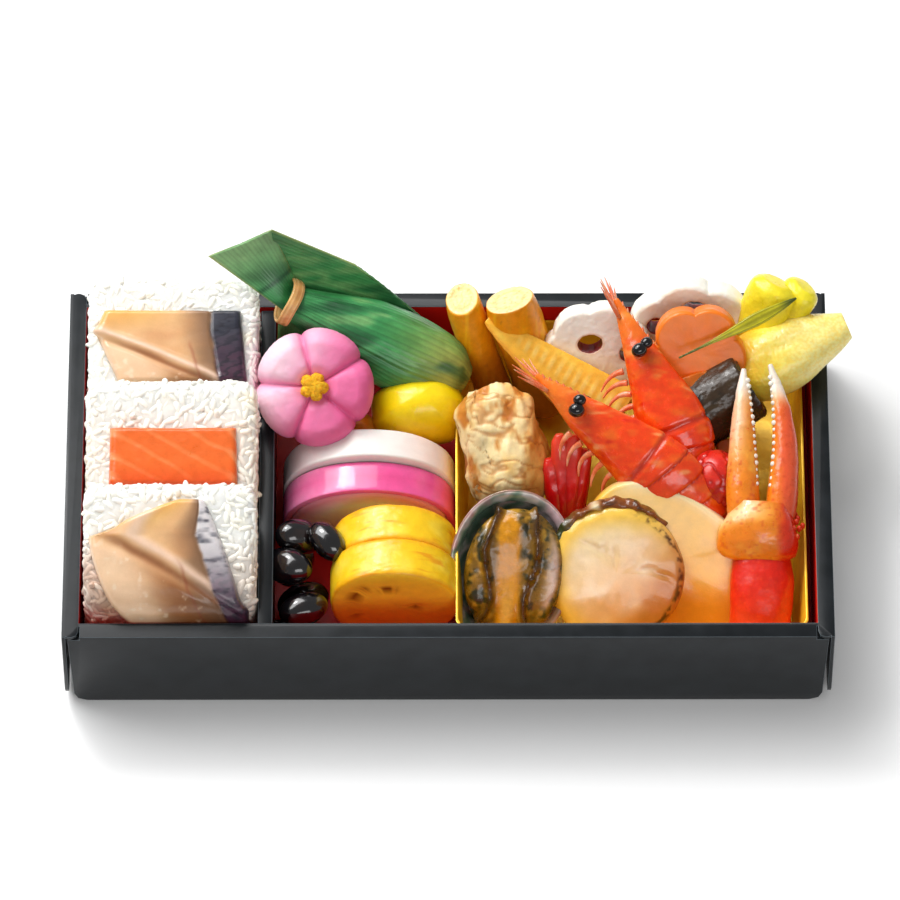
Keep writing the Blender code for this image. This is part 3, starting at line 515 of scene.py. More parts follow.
def math_node(tree, kind, first, second=None):
    """One sum or test; the second term is a number or a socket."""
    out = tree.nodes.new("ShaderNodeMath")
    out.operation = kind
    link(tree, first, out.inputs[0])
    if isinstance(second, float):
        out.inputs[1].default_value = second
    elif second is not None:
        link(tree, second, out.inputs[1])
    return out.outputs["Value"]


def plain_finish(name, colour, rough, metal=0.0, mottle=3.0, crinkle=0.0, drift=0.15):
    """Sheet or cut-edge finish: one colour with a slow drift and a slight crinkle."""
    made = bpy.data.materials.get(name)
    if made:
        return made
    material, tree, shader = blank_material(name)
    slow = noise_node(tree, mottle, 3.0)
    base = linear(colour)
    light, dark = tuple(np.minimum(base * (1 + drift), 1.0)), tuple(base * (1 - drift))
    tones = ramp_node(tree, slow.outputs["Fac"], 0.3, 0.7, dark, light)
    link(tree, tones.outputs["Color"], shader.inputs["Base Color"])
    shader.inputs["Roughness"].default_value = rough
    shader.inputs["Metallic"].default_value = metal
    if crinkle:
        link(tree, bump_node(tree, slow.outputs["Fac"], crinkle, 1.0), shader.inputs["Normal"])
    return material


# ---------------------------------------------------------------- tray, divider and liner


def board_piece(node, finishes, round_edge=0.28):
    """A stand-in for a folded sheet of the frame: softened edges, and the last finish along them."""
    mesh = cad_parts[node].data.copy()
    mesh.name = node + "_shown"
    mesh.materials.clear()
    for finish in finishes:
        mesh.materials.append(finish)
    obj = bpy.data.objects.new(node + "_shown", mesh)
    bpy.context.scene.collection.objects.link(obj)
    bm = bmesh.new()
    bm.from_mesh(mesh)
    bmesh.ops.remove_doubles(bm, verts=bm.verts, dist=0.00002)
    bmesh.ops.dissolve_limit(bm, angle_limit=math.radians(1.0), verts=bm.verts, edges=bm.edges)
    bm.to_mesh(mesh)
    bm.free()
    bevel = obj.modifiers.new("edge", "BEVEL")
    bevel.width = round_edge * MM
    bevel.segments = 2
    bevel.limit_method = "ANGLE"
    bevel.angle_limit = math.radians(35)
    bevel.material = len(finishes) - 1
    bevel.harden_normals = False
    graph = bpy.context.evaluated_depsgraph_get()
    shown = bpy.data.meshes.new_from_object(obj.evaluated_get(graph))
    obj.modifiers.clear()
    obj.data = shown
    shown.shade_smooth()
    shown.set_sharp_from_angle(angle=math.radians(50))
    return settle_piece(obj, [node])


# ---------------------------------------------------------------- rice and its slices

BLOCKS = {
    "front": (-54.4, -19.5, 45.5, 58.2),
    "middle": (-18.9, 19.2, 46.0, 58.0),
    "back": (19.8, 58.7, 46.0, 56.2),
}
SLICES_ON = {"front": ["mackerel_front_slice"], "middle": ["salmon_slice"], "back": ["mackerel_back_slice"]}
SUSHI_LEFT, GAP = -113.2, 0.5


def block_top(where):
    """Side line of a rice block from its rear edge over the top and down its front."""
    front, rear, front_top, rear_top = BLOCKS[where]
    slope = math.degrees(math.atan2(rear_top - front_top, rear - front))
    corners = [(rear, rear_top, 3.4, 90 + slope, 90 + slope, 1.15),
               (front, front_top, 8.0, 90 + slope, 180, 0.85)]
    line = []
    for y, z, r, begin, end, drop in corners:
        middle = (y - r if y == rear else y + r), z - r * drop
        for a in np.radians(np.linspace(begin, end, 1 if begin == end else 12)):
            line.append((middle[0] + r * math.cos(a), middle[1] + r * math.sin(a)))
    line.append((front, BED + 2.0))
    return np.array(line)


def drape(where, lift, begin, length, steps):
    """Points down the top of a rice block, lift above it."""
    line = block_top(where)
    run = np.gradient(line, axis=0)
    run /= np.linalg.norm(run, axis=1)[:, None]
    line = line + np.stack([run[:, 1], -run[:, 0]], 1) * lift
    along_line = np.concatenate([[0.0], np.cumsum(np.linalg.norm(np.diff(line, axis=0), axis=1))])
    want = begin + length * np.linspace(0, 1, steps)
    return np.stack([np.interp(want, along_line, line[:, i]) for i in (0, 1)], 1)


def slice_grid(where, begin, length, sides, thick, steps=90, across=90):
    """A slice laid over a rice block; sides(t) gives its left and right edge at each step down it."""
    under, upper = (drape(where, lift, begin, length, steps) for lift in (GAP, GAP + thick))
    s = np.linspace(0, 1, across)
    grid = np.empty((steps, across * 2, 3))
    for k, t in enumerate(np.linspace(0, 1, steps)):
        left, right = sides(t)
        end = min(t, 1 - t) * length / 1.6
        thin = 0.25 + 0.75 * math.sqrt(max(1 - max(1 - end, 0.0) ** 2, 0.0))
        from_edge = np.minimum(s, 1 - s) * (right - left) / 2.2
        crown = thin * (0.25 + 0.75 * np.sqrt(1 - np.clip(1 - from_edge, 0, 1) ** 2))
        top = under[k] + (upper[k] - under[k]) * crown[:, None]
        x = left + (right - left) * s
        grid[k, :across] = np.concatenate([x[:, None], top], 1)
        grid[k, across:, 0] = x[::-1]
        grid[k, across:, 1:] = under[k]
    return grid


def slice_place(spot):
    """(t, s) of each vertex: down the slice and across it from its left edge."""
    return spot.u, 1 - np.abs(2 * spot.v - 1)


def build_slices(group):
    """The two cured mackerel slices and the salmon slice on the rice."""
    flesh, skin_tone = tone255(group.mackerel), tone255(group.mackerel_skin)
    salmon = tone255(group.salmon)
    wet = food_finish("cured mackerel", rough=(0.25, 0.42), mottle=(4.0, 0.06), grain=0.5,
                      relief=(0.2, 0.15),
                      flesh=0.12, flesh_depth=(1.0, 0.6, 0.4), wet=0.5, wet_rough=0.12)
    left = SUSHI_LEFT

    def front_sides(t):
        tip = 28.0 * (1 - t / 0.26) ** 0.9 if t < 0.26 else 20.0 * (t - 0.26) ** 1.5
        return left + 1.6 + tip, left + 37.0 + 15.5 * t**0.8

    def back_sides(t):
        tip = 9.0 * (0.3 - t) if t < 0.3 else 11.0 * (t - 0.3)
        return left + 2.2 + tip, left + 48.0 + 2.2 * t

    def salmon_sides(t):
        return left + 7.6 - 0.3 * t, left + 47.0 + 0.5 * t

    def skin_share(spot, start):
        s = slice_place(spot)[1]
        return ease(start - 0.012, start + 0.02, s + 0.015 * spot.noise(3.0, 5))

    def skin_colour(spot, t, silvery):
        pattern = spot.noise((4.0, 1.4, 1.4), 9, 3)
        streak = np.sin((spot.x * 0.7 - spot.y * 1.0) * 1.5 + 5 * pattern)
        base = over(even(spot, skin_tone * 0.6), tone(70, 40, 58), ease(0.2, 0.9, t + 0.2 * pattern))
        base = over(base, tone(24, 22, 32), 0.6 * ease(0.2, 0.9, streak))
        silver = ease(0.9, 0.25, t) * (0.95 if silvery else 0.1)
        return over(base, tone(232, 226, 226), silver * ease(-0.8, 0.1, pattern))

    def crease_front(s):
        return 0.20 + 0.36 * s + 0.30 * s * s

    def crease_back(s):
        return 0.34 + 0.82 * s

    def mackerel_tint(crease, start, dark_top):
        def tint(spot):
            t, s = slice_place(spot)
            grain = spot.noise((12.0, 5.0, 5.0), 3, 3)
            base = over(even(spot, flesh), tone(240, 200, 150), 0.4 + 0.6 * grain)
            base = over(base, tone(240, 178, 84), ease(0.40, 0.0, t) * ease(0.7, 0.1, s) * 0.85)
            line = crease(s) + 0.02 * spot.noise(8.0, 4)
            below = ease(line - 0.01, line + 0.16, t)
            base = over(base, tone(240, 208, 178), below * ease(0.6, 0.1, s - 0.5 * (t - line)) * 0.6)
            # Painted shade: brown below the crease, growing towards the skin side.
            base = over(base, tone(148, 94, 54), below * ease(0.2, 0.6, s + 0.12 * grain) * dark_top)
            base = over(base, tone(104, 74, 54), ease(start - 0.26, start, s + 0.06 * grain) * 0.75)
            # Painted highlight along the crest of the crease, and painted shade in the trough just below it.
            base = over(base, tone(236, 204, 182), band(line - 0.07, 0.08, t) * 0.8)
            base = over(base, tone(150, 92, 56), band(line + 0.035, 0.06, t) * ease(0.0, 0.3, s) * 0.75)
            base = over(base, tone(242, 222, 196), ease(0.25, 0.6, spot.noise(2.0, 6)) * below * 0.5)
            base = over(base, tone(138, 60, 40),
                        band(0.62 + 0.03 * grain, 0.02, s) * ease(0.4, 0.55, t) * 0.35)
            return over(base, skin_colour(spot, t, dark_top > 0.9), skin_share(spot, start))
        return tint

    def mackerel_relief(crease, start):
        def relief(spot):
            t, s = slice_place(spot)
            line = crease(s) + 0.012 * spot.noise(6.0, 4)
            out = 0.22 * spot.noise(7.0, 3, 2) + 0.03 * spot.noise(0.9, 8)
            out = out + 0.9 * band(line - 0.05, 0.12, t) - 0.7 * band(line + 0.05, 0.10, t)
            out = out - 0.4 * band(start, 0.02, s)
            return out * (spot.n[:, 2] > -0.2)
        return relief

    # The last column sets the strength of the painted shade below the crease; above 0.9 it also makes the
    # skin silvery.
    for name, where, begin, length, sides, crease, start, dark in (
        ("mackerel_front", "front", 2.4, 44.4, front_sides, crease_front, 0.80, 1.0),
        ("mackerel_back", "back", 8.5, 24.0, back_sides, crease_back, 0.77, 0.8),
    ):
        grid = slice_grid(where, begin, length, sides, 3.6)
        piece(name + "_slice", grid, wet, mackerel_tint(crease, start, dark), [name],
              relief=mackerel_relief(crease, start))

    def salmon_tint(spot):
        t, s = slice_place(spot)
        bands = np.sin((spot.x * 0.62 + spot.y * 1.1) * 0.85 + 1.2 * spot.noise(9.0, 2))
        base = over(even(spot, salmon), tone(246, 138, 78), ease(0.55, 1.0, bands) * 0.55)
        base = over(base, tone(222, 70, 16), ease(0.55, 1.0, t) * 0.6)
        return over(base, tone(250, 190, 150),
                    ease(0.12, 0.0, np.minimum(s, 1 - s)) * ease(0.0, 0.5, bands) * 0.4)

    def salmon_relief(spot):
        bands = np.sin((spot.x * 0.62 + spot.y * 1.1) * 0.85 + 1.2 * spot.noise(9.0, 2))
        out = -0.12 * ease(0.6, 1.0, bands) + 0.16 * spot.noise(5.0, 1) + 0.05 * spot.noise(0.8, 4)
        return out * (spot.n[:, 2] > -0.2)

    oily = food_finish("cured salmon", rough=(0.22, 0.4), mottle=(2.6, 0.10), grain=0.4, relief=(0.3, 0.25),
                       flesh=0.1, flesh_depth=(1.0, 0.35, 0.15), wet=0.35, wet_rough=0.15)
    piece("salmon_slice", slice_grid("middle", 13.0, 18.5, salmon_sides, 2.6), oily, salmon_tint,
          ["salmon"], relief=salmon_relief)


def grain_shape(length, wide, rings=5, count=7):
    """One plump grain of rice along X, a little flat."""
    angles = np.linspace(0.18, math.pi - 0.18, rings)
    points, faces = [], []
    for a in angles:
        for b in math.tau * np.arange(count) / count:
            r = math.sin(a) ** 0.62
            points.append((-math.cos(a) * length / 2, r * math.cos(b) * wide / 2,
                           r * math.sin(b) * wide / 2 * 0.88))
    for i in range(rings - 1):
        for j in range(count):
            k = (j + 1) % count
            faces.append((i * count + j, i * count + k, (i + 1) * count + k, (i + 1) * count + j))
    faces.append(tuple(range(count))[::-1])
    faces.append(tuple((rings - 1) * count + j for j in range(count)))
    return np.array(points), faces


def scatter(points, faces, spacing, random):
    """Evenly thrown points on a surface, no two closer than the spacing, with their normals."""
    corners = np.array([(f[0], f[k], f[k + 1]) for f in faces for k in range(1, len(f) - 1)])
    a, b, c = (points[corners[:, i]] for i in range(3))
    cross = np.cross(b - a, c - a)
    area = np.linalg.norm(cross, axis=1)
    tries = int(area.sum() / 2 / spacing**2 * 9)
    pick = random.choice(len(area), tries, p=area / area.sum())
    r1, r2 = np.sqrt(random.random(tries)), random.random(tries)
    spots = a[pick] * (1 - r1)[:, None] + b[pick] * (r1 * (1 - r2))[:, None] + c[pick] * (r1 * r2)[:, None]
    normal = cross[pick] / np.maximum(area[pick], 1e-9)[:, None]
    taken, keep = {}, []
    cell = np.floor(spots / spacing).astype(int)
    for i, (p, q) in enumerate(zip(spots, map(tuple, cell))):
        near = (taken.get((q[0] + x, q[1] + y, q[2] + z),
                          ()) for x in (-1, 0, 1) for y in (-1, 0, 1) for z in (-1, 0, 1))
        if all(((p - spots[k]) ** 2).sum() > spacing**2 for group in near for k in group):
            taken.setdefault(q, []).append(i)
            keep.append(i)
    return spots[keep], normal[keep]


def rice_tint(where, w, steamed, stain):
    """Colour of the rice at a place in the tray: clean on top, greyer towards the bottom as painted shade,
    with painted shade and a red-brown painted reflection of the lining low on the front of the front block,
    and a peach tint on the middle block.
    """
    base = np.broadcast_to(steamed, (len(w), 3)).copy()
    # Painted shade: the rice greys towards the bottom of each block.
    low = ease(34.0, 12.0, w[:, 2])
    base = over(base, tone(226, 214, 190), low * 0.6)
    patch = 0.5 + 0.5 * noise(w, 9.0, 31)
    if where == "front":
        # Painted shade with a red-brown painted reflection of the lining, low on the front of the front
        # block.
        left = ease(-84.0, -104.0, w[:, 0])
        base = over(base, stain, ease(-34.0, -48.0, w[:, 1]) * (0.30 + 0.4 * left) * (0.4 + patch * 0.6))
    if where == "middle":
        base = over(base, tone(246, 204, 172), band(0.0, 22.0, w[:, 1] + 4.0) * 0.55 * patch)
    return over(base, tone(250, 226, 178), ease(0.6, 1.0, patch) * 0.35)


def build_rice(group):
    """Three pressed blocks: a core a little below the surface, and whole grains all over it."""
    steamed, stain = tone255(group.rice), tone255(group.stain)
    length, wide = group.grain_length / MM, group.grain_width / MM
    soft = food_finish("steamed rice", rough=(0.34, 0.52), mottle=(1.6, 0.02), grain=0.5,
                       relief=(0.2, 0.12),
                       flesh=0.6, flesh_depth=(1.0, 0.94, 0.84), wet=0.2, wet_rough=0.2, depth=5.0)
    whole = food_finish("whole grain", rough=(0.32, 0.5), mottle=(1.6, 0.02), grain=0.5, relief=(0.2, 0.1),
                        wet=0.3, wet_rough=0.18)
    for number, where in enumerate(BLOCKS):
        node = f"rice_{where}"
        random = np.random.default_rng(410 + number)
        core = worked(node, 0.9, smooth=2)

        def core_relief(spot):
            return -0.05 + 0.30 * spot.noise(2.6, 3)

        def core_tint(spot):
            return rice_tint(where, spot.w, steamed, stain)

        shape_piece(f"{node}_core", core, soft, core_tint, [node], relief=core_relief)
        cover = [shown_tree(name) for name in SLICES_ON[where]]
        spots, normals = scatter(core[0], outward(core[0], core[1]), group.spacing / MM, random)
        keep = []
        for i, (p, n) in enumerate(zip(spots, normals)):
            hidden = p[2] < 4.5 and n[2] < 0.3
            for tree in cover:
                if tree.ray_cast(Vector(p * MM) + Vector((0, 0, 0.006)), Vector((0, 0, -1)),
                                 0.008)[0] is not None:
                    hidden = hidden or n[2] > 0.15
            keep.append(not hidden)
        spots, normals = spots[keep], normals[keep]
        template, sides = grain_shape(length, wide)
        count = len(spots)
        lean = normals * 0.35 * random.normal(size=(count, 1)) + random.normal(size=(count, 3))
        axis = lean - normals * (np.einsum("ij,ij->i", lean, normals) * 0.88)[:, None]
        axis /= np.linalg.norm(axis, axis=1)[:, None]
        second = np.cross(normals + 0.2 * random.normal(size=(count, 3)), axis)
        second /= np.linalg.norm(second, axis=1)[:, None]
        third = np.cross(axis, second)
        size = random.uniform(0.88, 1.12, (count, 1, 1))
        centre = spots + normals * random.uniform(-0.95, -0.60, (count, 1))
        frames = np.stack([axis, second, third], 1)
        grains = centre[:, None] + (template[None] * size) @ frames
        everything = grains.reshape(-1, 3)
        faces = [tuple(i + g * len(template) for i in face) for g in range(count) for face in sides]
        blank = np.zeros(len(everything))
        light = np.repeat(random.uniform(0.99, 1.05, count), len(template))
        near_white = np.repeat(random.random(count), len(template))

        def grain_tint(spot):
            base = rice_tint(where, spot.w, steamed, stain) * light[:, None]
            return over(base, tone(250, 246, 232), ease(0.6, 1.0, near_white) * 0.5)

        shape_piece(f"{node}_grains", (everything, faces, blank, blank), whole, grain_tint)


def shown_tree(name):
    """Search tree over a slice that is already laid."""
    mesh = bpy.data.objects[name].data
    return BVHTree.FromPolygons([v.co for v in mesh.vertices], [p.vertices for p in mesh.polygons])


# ---------------------------------------------------------------- leaf parcel


def leaf_sheet(corners, thick, rows=70, across=40):
    """A stiff four-cornered fold of leaf, bowed a little out of its plane."""
    a, b, c, d = (np.asarray(p, float) for p in corners)
    normal = np.cross(c - a, d - b)
    normal /= np.linalg.norm(normal)
    s = np.linspace(0, 1, across)[:, None]
    grid = []
    for t in np.linspace(0, 1, rows):
        low, high = a + (d - a) * t, b + (c - b) * t
        line = low + (high - low) * s
        bow = 1.2 * np.sin(math.pi * s)
        edge = np.minimum(np.minimum(s, 1 - s) * 12.0, 1.0)
        half = thick / 2 * (0.35 + 0.65 * edge)
        grid.append(np.concatenate([line + normal * (bow + half), (line + normal * (bow - half))[::-1]]))
    return np.array(grid)


def build_leaf(group):
    """The leaf folded round its filling: a roll, the rear sheet, the bent tip and the tail at the neck."""
    green, yellow = tone255(group.leaf), tone255(group.leaf_end)
    neck, toe = np.array((-50.5, 50.0, 54.0)), np.array((3.8, 35.6, 28.6))
    path, sections = [], []
    for t, wide, high in (
        (0.0, 5.0, 4.6), (0.16, 7.2, 6.2), (0.42, 11.6, 9.2), (0.72, 13.0, 11.2), (0.92, 10.4, 10.4),
        (1.0, 6.0, 7.0),
    ):
        path.append(neck + (toe - neck) * t + np.array((0, 0, 2.0 * math.sin(math.pi * t))))
        ring = oval(wide, high, 160, 2.2)
        ring[:, 1] += 0.18 * high * (1 - np.abs(ring[:, 0]) / wide)
        sections.append(ring)
    roll = skin(along(path, sections, 120))
    peak, tip = np.array((-55.4, 62.0, 76.5)), np.array((-75.5, 61.0, 63.0))
    rear = [neck + (-2, 5, -2), peak, (-30, 59.0, 62.0), (-3.0, 50.0, 36.0)]
    bent = [neck + (-1, -4, 0), neck + (4, 5, -1), peak + (0.3, 0.6, -1), tip]
    tail = [neck + (-3, -5, -4), neck + (7, -3, -3), (-45, 40, 41), (-53.9, 42, 42)]
    shapes = [roll] + [skin(leaf_sheet(c, t)) for c, t in ((rear, 1.3), (bent, 1.5), (tail, 1.4))]
    sizes = np.repeat(np.arange(4), [len(shape[0]) for shape in shapes])
    waxy = food_finish("bamboo leaf", rough=(0.28, 0.5), mottle=(5.0, 0.22), grain=0.5, relief=(0.25, 0.2),
                       flesh=0.05, flesh_depth=(0.3, 0.8, 0.2), wet=0.45, wet_rough=0.2)

    def veins(spot):
        across_leaf = np.where(sizes == 0, spot.v * 46.0, (1 - np.abs(2 * spot.v - 1)) * 15.0)
        return np.sin(math.tau * across_leaf)

    def tint(spot):
        x = spot.x
        drift = spot.noise((16.0, 5.0, 5.0), 2, 3)
        base = over(even(spot, green), tone(36, 112, 56), ease(-0.1, 0.6, drift))
        base = over(base, tone(140, 190, 118), band(0.0, 0.4, drift + 0.4) * 0.75)
        base = over(base, yellow,
                    ease(-22.0, 3.0, x + 8 * drift) * ease(-1.0, 1.0, -spot.n[:, 1] + 0.4) * (sizes == 0))
        base = over(base, tone(14, 70, 36), ease(0.1, 0.5, spot.noise((20.0, 5.0, 6.0), 7)) * 0.6)
        base = over(base, tone(150, 190, 130), (sizes == 2) * ease(0.1, 0.95, spot.u) * 0.85)
        # Painted shade in the crease across the bent tip.
        base = over(base, tone(24, 80, 44), (sizes == 2) * band(0.36, 0.05, spot.u) * 0.7)
        base = over(base, tone(86, 160, 92), (sizes == 1) * ease(0.0, 0.7, drift + 0.3) * 0.7)
        base = over(base, tone(98, 156, 84), (sizes == 3) * 0.7)
        rim = ease(0.9, 1.0, np.abs((1 - np.abs(2 * spot.v - 1)) * 2 - 1)) * (sizes > 0)
        base = over(base, tone(206, 190, 104), rim * 0.7)
        return over(base, base * 0.74, ease(0.1, 0.9, veins(spot)) * 0.4)

    def relief(spot):
        wave = 0.35 * spot.noise((12.0, 5.0, 5.0), 5) * (sizes == 0)
        return 0.10 * veins(spot) + wave - 0.5 * band(0.10, 0.012, spot.v % 0.2) * (sizes == 0)

    shape_piece("leaf_parcel_folded", merged(shapes), waxy, tint, ["leaf_parcel"],
                relief=relief)
    build_tie(tone255(group.tie))


def build_tie(straw):
    """The straw band round the neck of the parcel."""
    centre = np.array((-50.0, 49.8, 53.8))
    run = np.array((-0.87, 0.20, 0.40))
    run /= np.linalg.norm(run)
    side = np.cross(run, (0, 0, 1))
    side /= np.linalg.norm(side)
    rise = np.cross(side, run)
    section = oval(0.6, 1.9, 28, 3.0)
    grid = []
    for a in math.tau * np.arange(140) / 140:
        out = side * math.cos(a) + rise * math.sin(a) * 0.95
        twist = 0.25 * math.sin(3 * a)
        grid.append([centre + out * (7.2 + p) + run * (q + twist) for p, q in section])
    dry = food_finish("straw tie", rough=(0.35, 0.5), mottle=(2.0, 0.15), grain=0.4, relief=(0.2, 0.3),
                      flesh=0.2, flesh_depth=(0.9, 0.5, 0.2), wet=0.2)

    def fibres(spot):
        return np.sin(math.tau * spot.v * 9)

    def tint(spot):
        base = over(even(spot, straw), tone(244, 208, 150), ease(0.0, 0.8, fibres(spot)) * 0.5)
        return over(base, tone(150, 86, 40), ease(0.0, 0.7, spot.noise((9, 9, 2), 3)) * 0.5)

    piece("leaf_tie_band", np.array(grid), dry, tint, ["leaf_tie"],
          relief=lambda spot: 0.08 * fibres(spot), loop=True)


# ---------------------------------------------------------------- sweet, fishcake, egg, beans, chestnut


def build_sweet(group):
    """The blossom sweet, with painted highlight on one side, painted shade on the other, down its creases and
    towards its base, and its yolk crumb.
    """
    pale, deep, crumb = tone255(group.petal), tone255(group.crease), tone255(group.yolk)
    radius, thick, count, around = 18.8, 15.0, 5, 200
    a = math.tau * np.arange(around) / around
    notch = (1 - np.abs(np.sin(a * count / 2))) ** 2.2
    rings = []
    for k, h, crease in (
        (0.60, 0.0, 0.0), (0.95, 3.2, 0.6), (1.0, 8.0, 1.0), (0.92, 12.4, 1.0), (0.72, 14.8, 1.0),
        (0.42, 14.8, 1.0),
        (0.16, 12.6, 0.6), (0.02, 12.2, 0.1),
    ):
        r = radius * k * (1 - 0.07 * notch * crease)
        z = np.maximum(h * thick / 15.2 - 3.0 * notch * crease * min(k + 0.15, 1.0), 0.0)
        rings.append(np.stack([r * np.sin(a), r * np.cos(a), z], 1))
    place = facing(-42.0, 26.9, 39.6, roll=14.0)
    bean_paste = food_finish("bean paste", rough=(0.42, 0.6), mottle=(4.0, 0.05), grain=0.35,
                             relief=(0.2, 0.25),
                             flesh=0.35, flesh_depth=(1.0, 0.45, 0.5), wet=0.12, wet_rough=0.3)

    def turn(spot):
        return np.arctan2(spot.x, spot.y)

    def tint(spot):
        # Painted light: the petals paler towards the left and back, where the key light stands, and deeper
        # pink on the far side as painted shade.
        light = (-0.72 * spot.x + 0.65 * spot.y) / radius
        base = over(even(spot, tone(236, 120, 168)), pale,
                    0.95 * ease(-0.30, 0.75, light + 0.1 * spot.noise(7.0, 2)))
        base = over(base, tone(232, 92, 150), ease(-0.25, -0.95, light) * 0.75)
        # Painted shade: deeper pink down the creases between the petals.
        line = (1 - np.abs(np.sin(turn(spot) * count / 2))) ** 3.0
        base = over(base, deep, line * 0.55 * ease(0.05, 0.3, np.hypot(spot.x, spot.y) / radius))
        # Painted shade: deeper pink towards the base.
        return over(base, tone(226, 84, 140), ease(9.0, 3.0, spot.z) * 0.6)

    def relief(spot):
        reach = np.hypot(spot.x, spot.y) / radius
        line = (1 - np.abs(np.sin(turn(spot) * count / 2))) ** 9.0
        ribs = 0.03 * np.sin(turn(spot) * 60 + 2 * spot.noise(5.0, 3))
        return -0.55 * line * ease(0.1, 0.3,
                                   reach) + ribs * ease(0.5, 1.0, reach) + 0.12 * spot.noise(2.0, 4)

    piece("sweet_petals", resample(rings, 110), bean_paste, tint, ["plum_blossom_sweet"],
          place, relief)
    star = 4.6 * (1 - 0.3 * (1 - np.abs(np.sin(a * count / 2)) ** 0.7))
    outline = np.stack([star * np.sin(a), star * np.cos(a)], 1)
    dab = stack(outline, [(0.5, 12.6), (1.0, 13.2), (0.95, 15.2), (0.7, 16.4), (0.1, 16.8)], 60)
    crumbly = food_finish("yolk crumb", rough=(0.6, 0.85), mottle=(0.9, 0.25), grain=0.3, relief=(0.4, 0.5),
                          flesh=0.2, flesh_depth=(1.0, 0.5, 0.1))

    def crumb_tint(spot):
        base = over(even(spot, crumb), tone(250, 200, 40), ease(0.0, 0.6, spot.noise(0.9, 3)))
        return over(base, tone(226, 140, 4), ease(0.1, 0.7, spot.noise(1.3, 5)) * 0.6)

    piece("sweet_crumb", dab, crumbly, crumb_tint, ["sweet_centre"], place,
          lambda spot: 0.45 * spot.noise(1.1, 2, 3))


def half_moon(width, height, count=160):
    """Outline of a fishcake: flat board side below, arched above, soft lower corners."""
    points = [(-width / 2 + 3, 0.0), (width / 2 - 3, 0.0), (width / 2 - 0.6, 2.2)]
    shoulder = height * 0.30
    for a in np.linspace(0, math.pi, 41):
        points.append((width / 2 * math.cos(a), shoulder + (height - shoulder) * abs(math.sin(a)) ** 0.8))
    points.append((-width / 2 + 0.6, 2.2))
    return resample(np.array(points)[:, None], count, closed=True)[:, 0]


def slab_rings(outline, levels, rows, middle):
    """Rings of an upright slab that closes towards a point in its face."""
    levels = resample(levels, rows)
    flat = middle + (outline[None] - middle) * levels[:, :1, None]
    height = np.broadcast_to(levels[:, 1, None, None], flat.shape[:2] + (1,))
    return np.concatenate([flat, height], 2)


def build_fishcake(group):
    """The white slice behind, and the front slice with its dyed skin."""
    white, pink = tone255(group.fishcake), tone255(group.fishcake_skin)
    stand = pose(-24.9, 0.6, BED, (90, 0, 0))
    steamed = food_finish("steamed fishcake", rough=(0.30, 0.45), mottle=(4.0, 0.04), grain=0.4,
                          relief=(0.2, 0.2),
                          flesh=0.4, flesh_depth=(1.0, 0.6, 0.55), wet=0.2, wet_rough=0.2)
    middle = np.array((0.0, 14.0))
    behind = [(0.02, -11.0), (0.96, -11.0), (1.0, -10.2), (1.0, -1.6), (0.97, -0.9), (0.02, -0.9)]

    def white_tint(spot):
        base = over(even(spot, white), tone(244, 216, 208), ease(4.0, 20.0, spot.x) * 0.6)
        base = over(base, tone(242, 206, 210), ease(-12.0, -25.0, spot.x) * 0.6)
        return over(base, tone(240, 206, 200), ease(24.0, 8.0, spot.y) * 0.6)

    def soft_relief(spot):
        return 0.18 * spot.noise(8.0, 2) + 0.06 * spot.noise(1.6, 3)

    piece("fishcake_behind_slice", slab_rings(half_moon(54.6, 37.0), behind, 60, middle),
          steamed, white_tint, ["fishcake_behind"], stand, soft_relief)
    front = [(0.02, -0.2), (0.97, -0.2), (1.0, 0.4), (1.0, 9.4), (0.975, 10.1), (0.6, 10.15), (0.02, 10.15)]

    def front_tint(spot):
        base = even(spot, white) * 0.98
        edge = ease(0.80, 1.0, np.hypot(spot.x / 25.0, (spot.y - 6) / 25.5))
        base = over(base, tone(238, 130, 156), edge * 0.85)
        return over(base, tone(248, 176, 190), ease(28.0, 10.0, spot.y) * 0.55)

    piece("fishcake_front_slice", slab_rings(half_moon(50.5, 31.5), front, 60, middle),
          steamed, front_tint, ["fishcake_front"], stand, soft_relief)
    outer, inner = half_moon(54.6, 34.0, 400), half_moon(51.0, 31.8, 400)
    keep = [i for i in range(400) if outer[i, 1] > 8.6]
    keep = sorted(keep, key=lambda i: math.atan2(outer[i, 1] - 8.0, outer[i, 0]))
    rings = []
    depth = 10.6
    for i in keep:
        out, back = outer[i], inner[i]
        section = []
        for p, q in oval(1.0, 1.0, 64, 8.0):
            k, h = (p + 1) / 2, -0.4 + depth * (q + 1) / 2
            section.append((*(back + (out - back) * k), h))
        rings.append(section)
    glossy = food_finish("pink fishcake skin", rough=(0.16, 0.28), mottle=(3.0, 0.08), grain=0.4,
                         relief=(0.25, 0.25),
                         flesh=0.3, flesh_depth=(1.0, 0.3, 0.5), wet=0.7, wet_rough=0.08)

    def skin_tint(spot):
        # Painted highlight: the skin paler towards the left.
        base = over(even(spot, pink), tone(240, 150, 186), ease(-4.0, -22.0, spot.x) * 0.7)
        base = over(base, tone(204, 48, 108), band(5.0, 4.5, spot.z + 1.2 * spot.noise(9.0, 3)) * 0.30)
        # Painted shade: the skin darker low down the sides of the arch.
        return over(base, tone(198, 40, 96), ease(22.0, 10.0, spot.y) * 0.5)

    piece("fishcake_skin_band", np.array(rings)[::2], glossy, skin_tint, ["fishcake_skin"],
          stand,
          lambda spot: 0.10 * spot.noise(5.0, 2) + 0.04 * spot.noise(1.2, 4))


